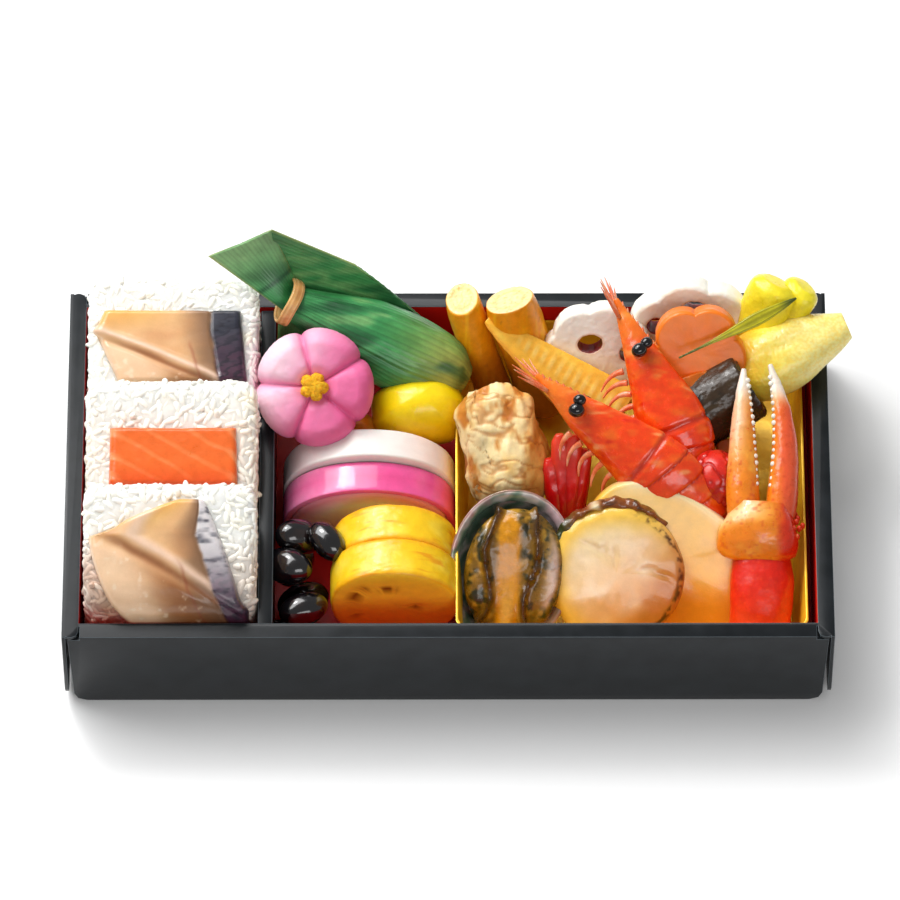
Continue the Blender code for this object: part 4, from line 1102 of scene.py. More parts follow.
def build_eggs(group):
    """Two slices of rolled egg with browned edges and the line of the roll on their cut faces."""
    egg, brown = tone255(group.egg), tone255(group.egg_brown)
    sizes = (("rolled_egg_front", -44.6, 13.4, 20.0, 3.0), ("rolled_egg_rear", -30.6, 13.2, 19.2, -2.0))
    cooked = food_finish("rolled egg", rough=(0.26, 0.42), mottle=(3.0, 0.08), grain=0.5,
                         relief=(0.35, 0.3),
                         flesh=0.1, flesh_depth=(1.0, 0.6, 0.1), wet=0.35, wet_rough=0.14)
    a = math.tau * np.arange(200) / 200
    wave = 1 + 0.02 * np.cos(3 * a + 0.6)
    for number, (name, y, deep, radius, lean) in enumerate(sizes):
        outline = np.stack([radius * 1.01 * wave * np.sin(a), radius * wave * np.cos(a)], 1)
        levels = [
            (0.02, 0.5), (0.5, 0.25), (0.93, 0.0), (0.99, 0.7), (1.0, 1.8), (1.0, deep - 1.8),
            (0.99, deep - 0.7),
            (0.93, deep), (0.5, deep - 0.25), (0.02, deep - 0.5),
        ]

        def roll_line(spot):
            reach = np.hypot(spot.x, spot.y)
            turns = reach / 4.4 - np.arctan2(spot.y, spot.x) / math.tau + 0.10 * spot.noise(7.0, 3)
            return band(0.5, 0.10, turns % 1.0) * ease(radius * 0.92, radius * 0.8,
                                                       reach) * ease(4.0, 7.0, reach)

        def face_share(spot):
            return ease(0.90, 0.97, np.abs(spot.n[:, 2]))

        def tint(spot):
            edge = np.minimum(spot.z, deep - spot.z)
            streak = spot.noise((3.0, 3.0, 14.0), 12 + number, 3)
            base = over(even(spot, egg), tone(254, 224, 84), ease(-0.1, 0.6, spot.noise(6.0, 4)) * 0.7)
            base = over(base, tone(244, 164, 16), ease(2.8, 0.4, edge + 1.4 * streak) * 0.6)
            base = over(base, brown, ease(0.34, 0.62, spot.noise((10.0, 10.0, 2.0), 21 + number, 3)) * 0.7)
            base = over(base, tone(255, 216, 56), face_share(spot) * 0.95)
            base = over(base, tone(120, 66, 8),
                        roll_line(spot) * face_share(spot) * ease(-0.35, 0.1, streak) * 0.95)
            return base

        def relief(spot):
            bulge = 0.25 * spot.noise((7.0, 7.0, 4.0), 8 + number, 3) + 0.10 * spot.noise(1.6, 9)
            return bulge - 0.8 * roll_line(spot) * face_share(spot)

        place = pose(-16.9, y, BED + radius * 1.02, (-90, lean, 0))
        piece(name + "_slice", stack(outline, levels, 90), cooked, tint, [name], place,
              relief)


def orb(radii, rings=48, count=64, power=2.0, bumps=None):
    """A closed ovoid; bumps(unit points) scales it point by point."""
    v = math.pi * (np.arange(rings) + 0.5) / rings
    flat = oval(1.0, 1.0, count, power)
    unit = np.empty((rings, count, 3))
    unit[..., :2] = flat[None] * np.sin(v)[:, None, None]
    unit[..., 2] = -np.cos(v)[:, None]
    swell = bumps(unit) if bumps else 1.0
    out = unit * np.asarray(radii, float)
    return out * np.asarray(swell)[..., None] if bumps else out


BEANS = (
    (-46.6, -22.6, 29.5, 20, 35), (-37.6, -27.0, 33.5, -52, 8), (-50.2, -33.6, 29.8, -30, -20),
    (-45.2, -47.0, 25.5, 22, 5), (-48.0, -24.0, 14.5, 60, 0), (-45.5, -38.0, 16.0, 30, 10),
    (-41.0, -52.6, 13.0, 50, 0), (-52.0, -50.5, 13.0, -40, 12),
)


def build_beans(group):
    """Glossy black beans, each a little different in size."""
    black = tone255(group.bean)
    syrup = food_finish("syrupy bean", rough=(0.10, 0.22), mottle=(2.5, 0.2), grain=0.4, relief=(0.2, 0.12),
                        wet=1.0, wet_rough=0.03, shine=0.7)
    for number, (x, y, z, spin, dip) in enumerate(BEANS, 1):

        def seam(spot):
            return band(0.0, 0.16,
                        spot.z / 6.0 - 0.35) * ease(3.4, 5.4, spot.y) * ease(4.6, 2.0, np.abs(spot.x))

        def tint(spot):
            base = over(even(spot, black), tone(34, 20, 18), ease(0.0, 0.7, spot.noise(4.0, number)))
            return over(base, tone(122, 70, 40), seam(spot) * 0.9)

        def relief(spot):
            dimple = 0.30 * spot.noise(5.5, number * 3) - 0.35 * seam(spot)
            return dimple - 0.12 * ease(0.3, 0.9, spot.noise((6.0, 2.0, 2.0), number + 7))

        size = 0.93 + 0.08 * math.sin(number * 2.4)
        piece(f"bean_{number}", orb((8.7 * size, 5.8 * size, 5.6 * size)), syrup, tint,
              [f"black_bean_{number}"],
              pose(x, y, z, (0, dip, spin)), relief)


def build_chestnut(group):
    """The candied chestnut, and the bit of root beside it."""
    yellow, low_tone = tone255(group.chestnut), tone255(group.chestnut_low)

    def facets(unit):
        turn = np.arctan2(unit[..., 1], unit[..., 0])
        wedge = np.cos(math.pi / 7) / np.cos((turn % (math.tau / 7)) - math.pi / 7)
        return 1.0 - 0.5 * (1 - wedge) * (unit[..., 0] ** 2 + unit[..., 1] ** 2)

    candied = food_finish("candied chestnut", rough=(0.22, 0.38), mottle=(3.5, 0.10), grain=0.5,
                          relief=(0.3, 0.25),
                          flesh=0.3, flesh_depth=(1.0, 0.6, 0.05), wet=0.45, wet_rough=0.14)

    def tint(spot):
        # Painted light: the chestnut brighter yellow on its upper, rear side towards the lights, and darker
        # on its lower, front side as painted shade.
        down = (spot.w[:, 2] * 0.6 + spot.w[:, 1] * 0.6) - 31.0
        base = over(even(spot, yellow), tone(252, 226, 40),
                    ease(4.0, 12.0, down + 3 * spot.noise(5.0, 2)) * 0.7)
        base = over(base, tone(250, 184, 0), ease(4.0, -4.0, down) * 0.6)
        return over(base, low_tone, ease(-4.0, -14.0, down + 4 * spot.noise(6.0, 4)) * 0.7)

    def relief(spot):
        return 0.22 * spot.noise((6.0, 6.0, 9.0), 3, 1) + 0.03 * spot.noise(1.2, 6)

    shape = orb((15.6, 11.0, 14.8), 90, 110, 2.5, facets)
    piece("chestnut_whole", shape, candied, tint, ["chestnut"],
          pose(-9.2, 25.2, 27.6, (12, 0, 4)), relief)
    glazed = food_finish("simmered root", rough=(0.3, 0.45), mottle=(2.5, 0.15), grain=0.5,
                         relief=(0.4, 0.3), flesh=0.25, flesh_depth=(1.0, 0.4, 0.1), wet=0.3)
    piece("simmered_root_piece", orb((7.5, 6.0, 15.0), 60, 64, 2.6), glazed,
          lambda spot: over(even(spot, tone(236, 128, 24)), tone(250, 178, 60),
                            ease(-0.2, 0.6, spot.noise(4.0, 2))),
          ["simmered_root"], pose(-29.0, 19.6, 18.5, (0, 0, 20)), lambda spot: 0.3 * spot.noise(3.0, 5))


# ---------------------------------------------------------------- burdock, shoot, curd and pickle


def flat_end(levels):
    """Adds rings that close a cut face: (place along, scale) pairs."""
    last = levels[-1][0]
    return list(levels) + [(last, levels[-1][1] * k) for k in (0.8, 0.4, 0.05)]


def build_burdock(group):
    """Two upright sticks of simmered burdock with slanting cut ends, and the bamboo shoot."""
    cut, body = tone255(group.burdock_cut), tone255(group.burdock)
    glazed = food_finish("simmered burdock", rough=(0.28, 0.46), mottle=(2.2, 0.14), grain=0.4,
                         relief=(0.35, 0.3),
                         flesh=0.1, flesh_depth=(1.0, 0.55, 0.15), wet=0.3, wet_rough=0.16)
    sticks = (
        ("burdock_1", (4.4, 51.6, 52.6), (17.5, 35.5, 9.0), 5.5, 0.45),
        ("burdock_2", (19.4, 50.6, 53.6), (32.0, 41.0, 9.0), 8.0, -0.25),
    )
    for number, (name, top, foot, radius, slant) in enumerate(sticks):
        top, foot = np.array(top), np.array(foot)
        run = (top - foot) / np.linalg.norm(top - foot)
        side = np.array((1.0, 0, 0)) - run * run[0]
        side /= np.linalg.norm(side)
        rise = np.cross(run, side)
        rings = []
        for t, k in flat_end([(0.0, 0.86), (0.06, 1.0), (0.5, 1.0), (0.965, 1.0), (1.0, 0.95)]):
            flat = oval(radius * k, radius * k, 110)
            lean = slant * flat[:, 1:] * t
            rings.append(foot + (top - foot) * t + side * flat[:, :1] + rise * flat[:, 1:] + run * lean)
        grid = resample(rings, 130)

        def reach(spot):
            flat = spot.p - foot
            away = flat - (flat @ run)[:, None] * run
            return np.linalg.norm(away, axis=1) / radius, (flat @ run) / np.linalg.norm(top - foot)

        def face(spot):
            return ease(0.80, 0.95, spot.n @ run)

        def tint(spot):
            out, up = reach(spot)
            fibre = spot.noise((1.2, 6.0, 12.0), 4 + number, 3)
            base = over(even(spot, body), tone(252, 190, 30), ease(-0.1, 0.5, fibre) * 0.7)
            # Painted shade: the stick darker towards its foot, down among the food.
            base = over(base, tone(164, 92, 26), ease(0.72, 0.35, up) * 0.75)
            base = over(base, tone(150, 84, 20),
                        ease(0.5, 0.7, spot.noise((1.1, 1.1, 3.0), 9 + number)) * 0.3)
            pale = over(even(spot, cut), tone(240, 200, 110), band(0.62, 0.14, out + 0.08 * fibre) * 0.35)
            pale = over(pale, tone(214, 160, 74), ease(0.0, 0.6, spot.noise(0.8, 6)) * 0.35)
            return over(base, pale, face(spot))

        def relief(spot):
            out = reach(spot)[0]
            ribs = 0.16 * spot.noise((1.2, 6.0, 12.0), 4 + number, 3) + 0.2 * spot.noise(4.0, 2)
            return ribs + face(spot) * (0.20 * spot.noise(0.9, 6) - 0.25 * band(0.62, 0.08, out))

        piece(name + "_stick", grid, glazed, tint, [name], relief=relief)
    build_shoot(tone255(group.shoot), glazed)


def build_shoot(colour, glazed):
    """The ribbed tip of a bamboo shoot."""
    length, rings = 52.0, []
    for t in np.linspace(0, 1, 170):
        ridge = 0.12 * (0.5 - 0.5 * math.cos(math.tau * t * 13))
        wide, deep = 2.6 + 20.0 * t**0.8, 3.2 + 8.4 * t**0.7
        low, x = -0.62 * wide, length * t
        ring = [
            (x, low - ridge, -0.6), (x, low - 0.5 * ridge, -deep * 0.5), (x, low * 0.5, -deep - ridge),
            (x, wide * 0.15, -deep - 0.6 - ridge), (x, wide * 0.36 + ridge, -deep * 0.6),
            (x, wide * 0.38, -0.8),
            (x, wide * 0.2, -0.2), (x, 0.0, 0.0), (x, low * 0.5, -0.1),
        ]
        rings.append(resample(np.array(ring)[:, None], 110, closed=True)[:, 0])
    place = facing(12.6, 45.6, 50.6, roll=-35.0, tilt=26.0)

    def across(spot):
        wide = 2.6 + 20.0 * np.clip(spot.x / length, 0, 1) ** 0.8
        return (spot.y / wide + 0.62) / 1.0

    def chambers(spot):
        return np.sin(math.tau * spot.x / 3.1 + 3.0 * across(spot))

    def comb(spot):
        return band(0.62, 0.34, across(spot)) * ease(8.0, 16.0, spot.x) * ease(0.3, 0.7, spot.n[:, 2])

    def tint(spot):
        base = over(even(spot, colour), tone(252, 222, 96),
                    ease(0.0, 0.6, spot.noise((9.0, 3.0, 3.0), 3)) * 0.6)
        base = over(base, tone(222, 134, 34), ease(0.25, 0.0, across(spot)) * 0.6)
        base = over(base, tone(252, 226, 150), comb(spot) * ease(-0.4, 0.6, chambers(spot)) * 0.45)
        return over(base, tone(236, 160, 50), comb(spot) * ease(0.2, 1.0, -chambers(spot)) * 0.3)

    def relief(spot):
        return 0.05 * comb(spot) * chambers(spot) + 0.18 * spot.noise((6.0, 1.6, 1.6),
                                                                      5) + 0.05 * spot.noise(0.8, 6)

    piece("bamboo_shoot_wedge", np.array(rings), glazed, tint, ["bamboo_shoot"], place,
          relief)


def build_curd(group):
    """The wrinkled roll of fried curd and the fan of red pickle."""
    pale, brown, red = tone255(group.curd), tone255(group.curd_brown), tone255(group.pickle)
    path = bend((13.0, 23.5, 41.5), (16.4, 9.0, 38.4), (22.6, -7.0, 22.0), 6)
    sections = []
    for i, r in enumerate((8.4, 12.4, 12.8, 13.4, 13.6, 12.2, 7.0)):
        ring = []
        for j, (x, y) in enumerate(oval(r, r * 0.94, 12)):
            lump = 1 + 0.05 * math.sin(2.3 * j + 1.7 * i) + 0.03 * math.sin(4.1 * j - i)
            ring.append((x * lump, y * lump))
        sections.append(resample(np.array(ring)[:, None], 150, closed=True)[:, 0])
    fried = food_finish("fried bean curd", rough=(0.32, 0.55), mottle=(3.0, 0.12), grain=0.5,
                        relief=(0.5, 0.35), flesh=0.1, flesh_depth=(1.0, 0.6, 0.3), wet=0.35, wet_rough=0.2)

    def creases(spot):
        return 1 - np.abs(spot.noise((14.0, 6.0, 5.0), 17, 3)) * 3.4

    def tint(spot):
        lit = (spot.w[:, 2] - 30.0) * 0.5 + (18.0 - spot.w[:, 0]) * 0.4
        base = over(even(spot, pale), tone(244, 196, 112), ease(-0.2, 0.5, spot.noise(6.0, 3)) * 0.8)
        # Painted shade: brown on the side away from the light, low and to the right.
        base = over(base, brown, ease(3.0, -8.0, lit + 5 * spot.noise(6.0, 5)) * 0.75)
        base = over(base, tone(222, 124, 26), ease(6.0, 12.0, spot.w[:, 0] - 16.0) * 0.45)
        # Painted shade down in the troughs of the folds and in the creases.
        base = over(base, tone(206, 122, 40),
                    ease(0.0, 0.35, spot.noise((3.6, 9.0, 7.0), 11, 3) * -1.0) * 0.9)
        return over(base, tone(176, 96, 34), ease(0.7, 1.0, creases(spot)) * 0.5)

    def relief(spot):
        folds = 0.95 * spot.noise((3.6, 9.0, 7.0), 11, 3)
        out = 0.7 * spot.noise(6.5, 3, 2) + 0.5 * spot.noise((2.0, 5.0, 4.0), 23, 2) + folds
        return out - 0.3 * ease(0.6, 1.0, creases(spot)) + 0.10 * spot.noise(1.2, 8)

    piece("curd_roll", along(path, sections, 150), fried, tint, ["fried_curd_roll"],
          relief=relief)
    base, shapes = np.array((37.5, -11.0, 21.0)), []
    tips = (
        (31.6, 1.0, 38.0, 2.9), (35.0, 6.2, 44.0, 3.0), (39.4, 6.0, 44.0, 3.0), (43.0, 3.4, 40.0, 2.8),
        (38.2, 0.6, 35.0, 3.0),
    )
    for x, y, z, r in tips:
        tip = np.array((x, y, z))
        foot = base + (tip - base) * -0.35 + ((x - 37.5) * 0.35, 0, 0)
        path = [foot + (tip - foot) * t for t in (0.0, 0.4, 0.7, 0.93, 1.0)]
        sections = [oval(r * k, r * k * 0.8, 44, 2.6) for k in (1.5, 1.35, 1.2, 0.9, 0.4)]
        shapes.append(skin(along(path, sections, 70)))
    pickled = food_finish("red pickle", rough=(0.15, 0.3), mottle=(2.0, 0.12), grain=0.4,
                          relief=(0.25, 0.2),
                          flesh=0.35, flesh_depth=(1.0, 0.15, 0.08), wet=0.6, wet_rough=0.08)

    def pickle_tint(spot):
        # Painted highlight: the pickle lighter towards its raised tips.
        up = ease(30.0, 44.0, spot.w[:, 2] + 3 * spot.noise(3.0, 2))
        return over(even(spot, red), tone(238, 84, 52), up * 0.8)

    shape_piece("pickle_fan", merged(shapes), pickled, pickle_tint, ["red_pickle"],
                relief=lambda spot: 0.18 * spot.noise((2.0, 2.0, 6.0), 3))


# ---------------------------------------------------------------- shrimps


def tube(path, radii, rows=60, count=12, up=(0.0, 0.0, 1.0)):
    """A thin round limb along a path."""
    return skin(along(path, [oval(r, r, count) for r in radii], rows, up))


def build_shrimps(group):
    """Two boiled shrimps: ringed bodies, eyes on stalks, and legs and feelers."""
    red, hot = tone255(group.shrimp), tone255(group.shrimp_light)
    shell = food_finish("boiled shrimp shell", rough=(0.16, 0.34), mottle=(2.6, 0.14), grain=0.4,
                        relief=(0.3, 0.25),
                        flesh=0.12, flesh_depth=(1.0, 0.28, 0.12), wet=0.9, wet_rough=0.09)
    thin = food_finish("shrimp legs", rough=(0.2, 0.35), mottle=(2.0, 0.14), grain=0.5, relief=(0.15, 0.2),
                       flesh=0.3, flesh_depth=(1.0, 0.3, 0.15), wet=0.5, wet_rough=0.12)
    eye_finish = food_finish("shrimp eye", rough=(0.06, 0.14), mottle=(1.5, 0.2), grain=0.3,
                             relief=(0.1, 0.1), wet=1.0, wet_rough=0.03)
    animals = (
        ("shrimp_front", (86.0, -16.6, 25.0), (78.6, -15.6, 37.0), (42.0, 8.4, 51.5), (27.5, 19.4, 57.6),
         (0.62, 0.42, 0.66)),
        ("shrimp_back", (78.6, -8.0, 15.0), (76.4, -3.0, 38.0), (61.0, 27.4, 54.0), (52.8, 45.4, 61.6),
         (0.85, 0.30, 0.42)),
    )
    girth = 11.2
    for number, (name, tail, waist, eye, tip, lean) in enumerate(animals):
        path = np.concatenate([bend(tail, waist, eye, 7),
                               [np.array(eye) + (np.array(tip) - eye) * t for t in (0.5, 1.0)]])
        share = (0.30, 0.46, 0.60, 0.78, 0.95, 0.93, 0.72, 0.50, 0.28, 0.07)
        sections = []
        for k in share:
            wide, high = girth * 0.62 * k, girth * k
            ring = oval(wide, high, 120, 2.1)
            arch = np.maximum(ring[:, 1] / high, 0) * (1 - np.abs(ring[:, 0]) / (wide + 0.01))
            ring[:, 1] *= 1 + 0.16 * arch
            sections.append(ring)
        grid = along(path, sections, 200, up=lean)

        def rings_of(spot):
            return (spot.u * 11.0 + 0.3 * np.sin(math.tau * spot.v)) % 1.0

        def tail_share(spot):
            return ease(0.42, 0.36, spot.u)

        def tint(spot):
            drift = spot.noise((7.0, 3.0, 3.0), 3 + number, 3)
            base = over(even(spot, red), hot, ease(-0.2, 0.6, drift) * 0.65)
            # Painted highlight: pale glossy streaks along the shell.
            base = over(base, tone(255, 184, 120),
                        ease(0.25, 0.7, spot.noise((9.0, 2.0, 2.4), 6 + number, 2)) * 0.7)
            base = over(base, tone(214, 28, 6),
                        ease(0.3, 0.7, spot.noise((6.0, 2.0, 2.4), 26 + number, 2)) * 0.6)
            base = over(base, tone(250, 142, 40), ease(0.66, 0.9, spot.u) * 0.75)
            base = over(base, tone(250, 166, 70), band(0.62, 0.14, spot.u) * ease(0.2, 0.6, -drift) * 0.6)
            base = over(base, tone(206, 40, 16), band(0.0, 0.12, rings_of(spot)) * tail_share(spot) * 0.8)
            return over(base, tone(196, 44, 22), band(0.44, 0.02, spot.u) * 0.7)

        def relief(spot):
            step = ease(0.0, 0.16, rings_of(spot)) * (1 - 0.6 * rings_of(spot))
            out = 0.85 * (step - 0.5) * tail_share(spot) - 0.55 * band(0.44, 0.02, spot.u)
            return out + 0.30 * spot.noise(6.0, 5) * (spot.u > 0.4) + 0.06 * spot.noise(1.0, 4)

        piece(name + "_body", grid, shell, tint, [name], relief=relief)
        forward = (np.array(tip) - eye) / np.linalg.norm(np.array(tip) - np.array(eye, float))
        up = np.array(lean) / np.linalg.norm(lean)
        side = np.cross(forward, up)
        side /= np.linalg.norm(side)
        rise = np.cross(side, forward)
        head = np.array(eye) + forward * 1.5
        balls, stalks = [], []
        for turn, ahead in ((-1, 0.0), (-1, 3.4), (1, 0.0)):
            at = head + side * turn * (5.6 - 0.4 * ahead) + rise * (1.2 + 0.8 * ahead)
            at = at + forward * ahead * 0.4 + (0, 0, 1.6)
            turn_eye = pose(*at, (20, 0, 30 * number))
            shape = orb(np.array((2.6, 2.3, 2.4)) * (0.8 if ahead else 1.0), 24, 30)
            balls.append(skin(laid(shape.reshape(-1, 3), turn_eye).reshape(shape.shape)))
            root = head + side * turn * 2.4
            stalks.append(tube([root, (root + at) / 2, at - side * turn * 1.2], (1.6, 1.3, 1.5), 16))
        shape_piece(f"{name}_eyes", merged(balls), eye_finish,
                    lambda spot: over(even(spot, tone(12, 9, 12)), tone(60, 30, 30),
                                      ease(0.3, 0.8, spot.noise(1.0, 2))))
        wisps = []
        for k in range(7):
            crest = girth * 0.5 * (1.0 - 0.12 * k) - 1.2
            saw = np.array(eye) + (np.array(tip) - eye) * (0.12 + 0.12 * k) + rise * crest
            wisps.append(tube([saw, saw + forward * 0.7 + rise * 0.9, saw + forward * 1.8 + rise * 1.4],
                              (0.8, 0.5, 0.12), 10, 8))
        for turn, spread, reach in (
            (-1, 0.5, 12.0), (1, 0.25, 15.0), (1, 0.8, 11.0), (-1, 0.15, 14.0), (-1, 0.9, 9.0),
            (1, 0.5, 13.0),
        ):
            root = np.array(tip) - forward * 6 + side * turn * 1.4 - rise * 1.0
            out = root + forward * reach * 0.6 + side * turn * spread * 5
            end = root + forward * reach + side * turn * spread * 11 + np.array((0, 0, -1.5 + 3 * spread))
            wisps.append(tube(bend(root, out, end, 6), (0.7, 0.62, 0.5, 0.42, 0.34, 0.24, 0.1), 40, 8))
        for k in range(9):
            under = rise * girth * (0.62 + 0.03 * k)
            root = np.array(eye) + (np.array(waist) - eye) * (0.02 + 0.10 * k) - under
            drop = np.array((0.8 - 0.5 * number, -0.5, -0.7)) * (1 if number else 0.8)
            knee = root - rise * 4.6 + forward * (1.4 + 0.7 * (k % 3))
            foot = knee - rise * 4.4 - forward * (3.4 - k % 2) + drop
            wisps.append(tube(bend(root, knee, foot, 5), (1.05, 0.9, 0.75, 0.6, 0.45, 0.2), 30, 10))
        wisps += stalks

        def leg_tint(spot):
            return over(even(spot, tone(240, 120, 72)), tone(250, 170, 130),
                        ease(-0.2, 0.6, spot.noise(3.0, 4)))

        shape_piece(f"{name}_legs", merged(wisps), thin, leg_tint)


# ---------------------------------------------------------------- cut slices with holes


def carved(shape, bores, voxel):
    """The shape with the bores taken out of it, evenly remeshed; all in the shape's own millimetres."""
    objs = []
    for points, faces, _, _ in [shape] + bores:
        mesh = bpy.data.meshes.new("carve")
        mesh.from_pydata((points * MM).tolist(), [], outward(points, faces))
        obj = bpy.data.objects.new("carve", mesh)
        bpy.context.scene.collection.objects.link(obj)
        objs.append(obj)
    body = objs[0]
    for bore in objs[1:]:
        cut = body.modifiers.new("cut", "BOOLEAN")
        cut.object = bore
        cut.operation = "DIFFERENCE"
        cut.solver = "EXACT"
    remesh = body.modifiers.new("remesh", "REMESH")
    remesh.mode = "VOXEL"
    remesh.voxel_size = voxel * MM
    soften = body.modifiers.new("soften", "SMOOTH")
    soften.iterations = 3
    graph = bpy.context.evaluated_depsgraph_get()
    mesh = bpy.data.meshes.new_from_object(body.evaluated_get(graph))
    points = np.array([v.co for v in mesh.vertices]) / MM
    faces = [list(p.vertices) for p in mesh.polygons]
    for obj in objs:
        bpy.data.objects.remove(obj, do_unlink=True)
    bpy.data.meshes.remove(mesh)
    blank = np.zeros(len(points))
    return points, faces, blank, blank


def petals(radius, count, depth, total=240, power=0.7):
    """Outline with a number of round lobes."""
    a = math.tau * np.arange(total) / total
    r = radius * (1 - depth * (1 - np.abs(np.sin(a * count / 2)) ** power))
    return np.stack([r * np.sin(a), r * np.cos(a)], 1)


def disc(outline, thick, edge=0.06):
    """Grid of a flat slice with softened edges."""
    soft = [(1 - edge, 0.0), (1 - 0.3 * edge, thick * 0.06), (1.0, thick * 0.16), (1.0, thick * 0.84)]
    soft += [(1 - 0.3 * edge, thick * 0.94), (1 - edge, thick)]
    return stack(outline, [(0.05, 0.0)] + soft + [(0.05, thick)], 90)


def build_flower_slices(group):
    """Two pierced slices of lotus root and the carrot flower."""
    white, orange = tone255(group.lotus), tone255(group.carrot)
    crisp = food_finish("simmered lotus", rough=(0.25, 0.42), mottle=(3.0, 0.06), grain=0.4,
                        relief=(0.25, 0.25),
                        flesh=0.12, flesh_depth=(1.0, 0.8, 0.55), wet=0.4, wet_rough=0.14)
    left_holes = [(-1.5, 5.4, 3.9, 3.0), (10.0, 0.0, 2.8, 2.8), (-8.5, -5.0, 2.6, 2.8)]
    right_holes = [(-2.0, 11.6, 4.4, 2.8), (-12.4, 2.4, 3.0, 3.0), (11.6, 3.0, 3.0, 3.2)]
    for name, radius, place, holes in (
        ("lotus_1", 17.6, facing(47.4, 43.8, 35.6, roll=10, tilt=56), left_holes),
        ("lotus_2", 20.8, facing(77.4, 52.0, 36.2, roll=-15, tilt=68), right_holes),
    ):
        bores = [skin(stack(oval(rx, ry, 40), [(1.0, -2.0), (1.0, 10.0)], 4) + (x, y, 0.0)) for x, y, rx,
                 ry in holes]
        shape = carved(skin(disc(petals(radius, 7, 0.10), 8.0)), bores, 0.42)

        def near_hole(spot):
            gaps = [np.hypot((spot.x - x) / rx, (spot.y - y) / ry) for x, y, rx, ry in holes]
            return np.min(gaps, axis=0)

        def tint(spot):
            base = over(even(spot, white), tone(254, 244, 226), ease(-0.1, 0.6, spot.noise(5.0, 3)) * 0.7)
            # Painted shade: the slice warmer and darker towards its lower edge.
            base = over(base, tone(244, 206, 150),
                        ease(-0.2, -0.9, spot.y / radius + 0.15 * spot.noise(5.0, 6)) * 0.6)
            deep = ease(0.8, 0.45, np.abs(spot.n[:, 2])) * ease(1.25, 1.05, near_hole(spot))
            base = over(base, tone(206, 140, 90), band(1.1, 0.18, near_hole(spot)) * 0.35)
            # Painted shade with a red painted reflection of the lining, dark down the walls of the holes.
            return over(base, tone(132, 18, 20), deep * 0.9)

        def relief(spot):
            return 0.12 * spot.noise(2.4, 2) + 0.12 * spot.noise((0.8, 0.8, 4.0), 5)

        shape_piece(name + "_slice", shape, crisp, tint, [name], place, relief)
    soft = food_finish("simmered carrot", rough=(0.30, 0.46), mottle=(3.0, 0.08), grain=0.4,
                       relief=(0.3, 0.2),
                       flesh=0.05, flesh_depth=(1.0, 0.45, 0.08), wet=0.25, wet_rough=0.16)

    def carrot_tint(spot):
        turn, reach = np.arctan2(spot.x, spot.y), np.hypot(spot.x, spot.y) / 15.6
        base = over(even(spot, orange), tone(244, 128, 34), ease(0.74, 0.92, reach) * 0.5)
        base = over(base, tone(236, 104, 20), band(0.5, 0.18, reach + 0.06 * np.cos(turn * 5)) * 0.4)
        return over(base, tone(246, 130, 30), ease(0.1, 0.6, spot.noise((1.4, 1.4, 5.0), 3)) * 0.4)

    def carrot_relief(spot):
        turn, reach = np.arctan2(spot.x, spot.y), np.hypot(spot.x, spot.y) / 15.6
        cut = (1 - np.abs(np.sin(turn * 2.5))) ** 6 * ease(0.12, 0.5, reach) * (spot.n[:, 2] > 0.6)
        return 0.15 * spot.noise(4.0, 2) + 0.03 * spot.noise(0.9, 4) - 0.03 * cut

    piece("carrot_flower", disc(petals(15.6, 5, 0.16), 9.0, 0.08), soft, carrot_tint, ["carrot"],
          facing(78.6, 37.2, 46.0, roll=4, tilt=48), carrot_relief)


# ---------------------------------------------------------------- roe, blade, kelp and small simmered pieces


def cells(points, size, seed=0):
    """Share of the way from the nearest of many scattered middles: 0 on a middle, about 1 between them."""
    q = points / size
    base = np.floor(q).astype(np.int64)
    best = np.full(len(points), 9.0)
    for x in (-1, 0, 1):
        for y in (-1, 0, 1):
            for z in (-1, 0, 1):
                cell = base + (x, y, z)
                middle = cell + 0.5 + 0.42 * np.stack([lattice(cell, seed + 11 * i) for i in (1, 2, 3)], 1)
                best = np.minimum(best, ((q - middle) ** 2).sum(1))
    return np.clip(np.sqrt(best) / 0.75, 0, 1)


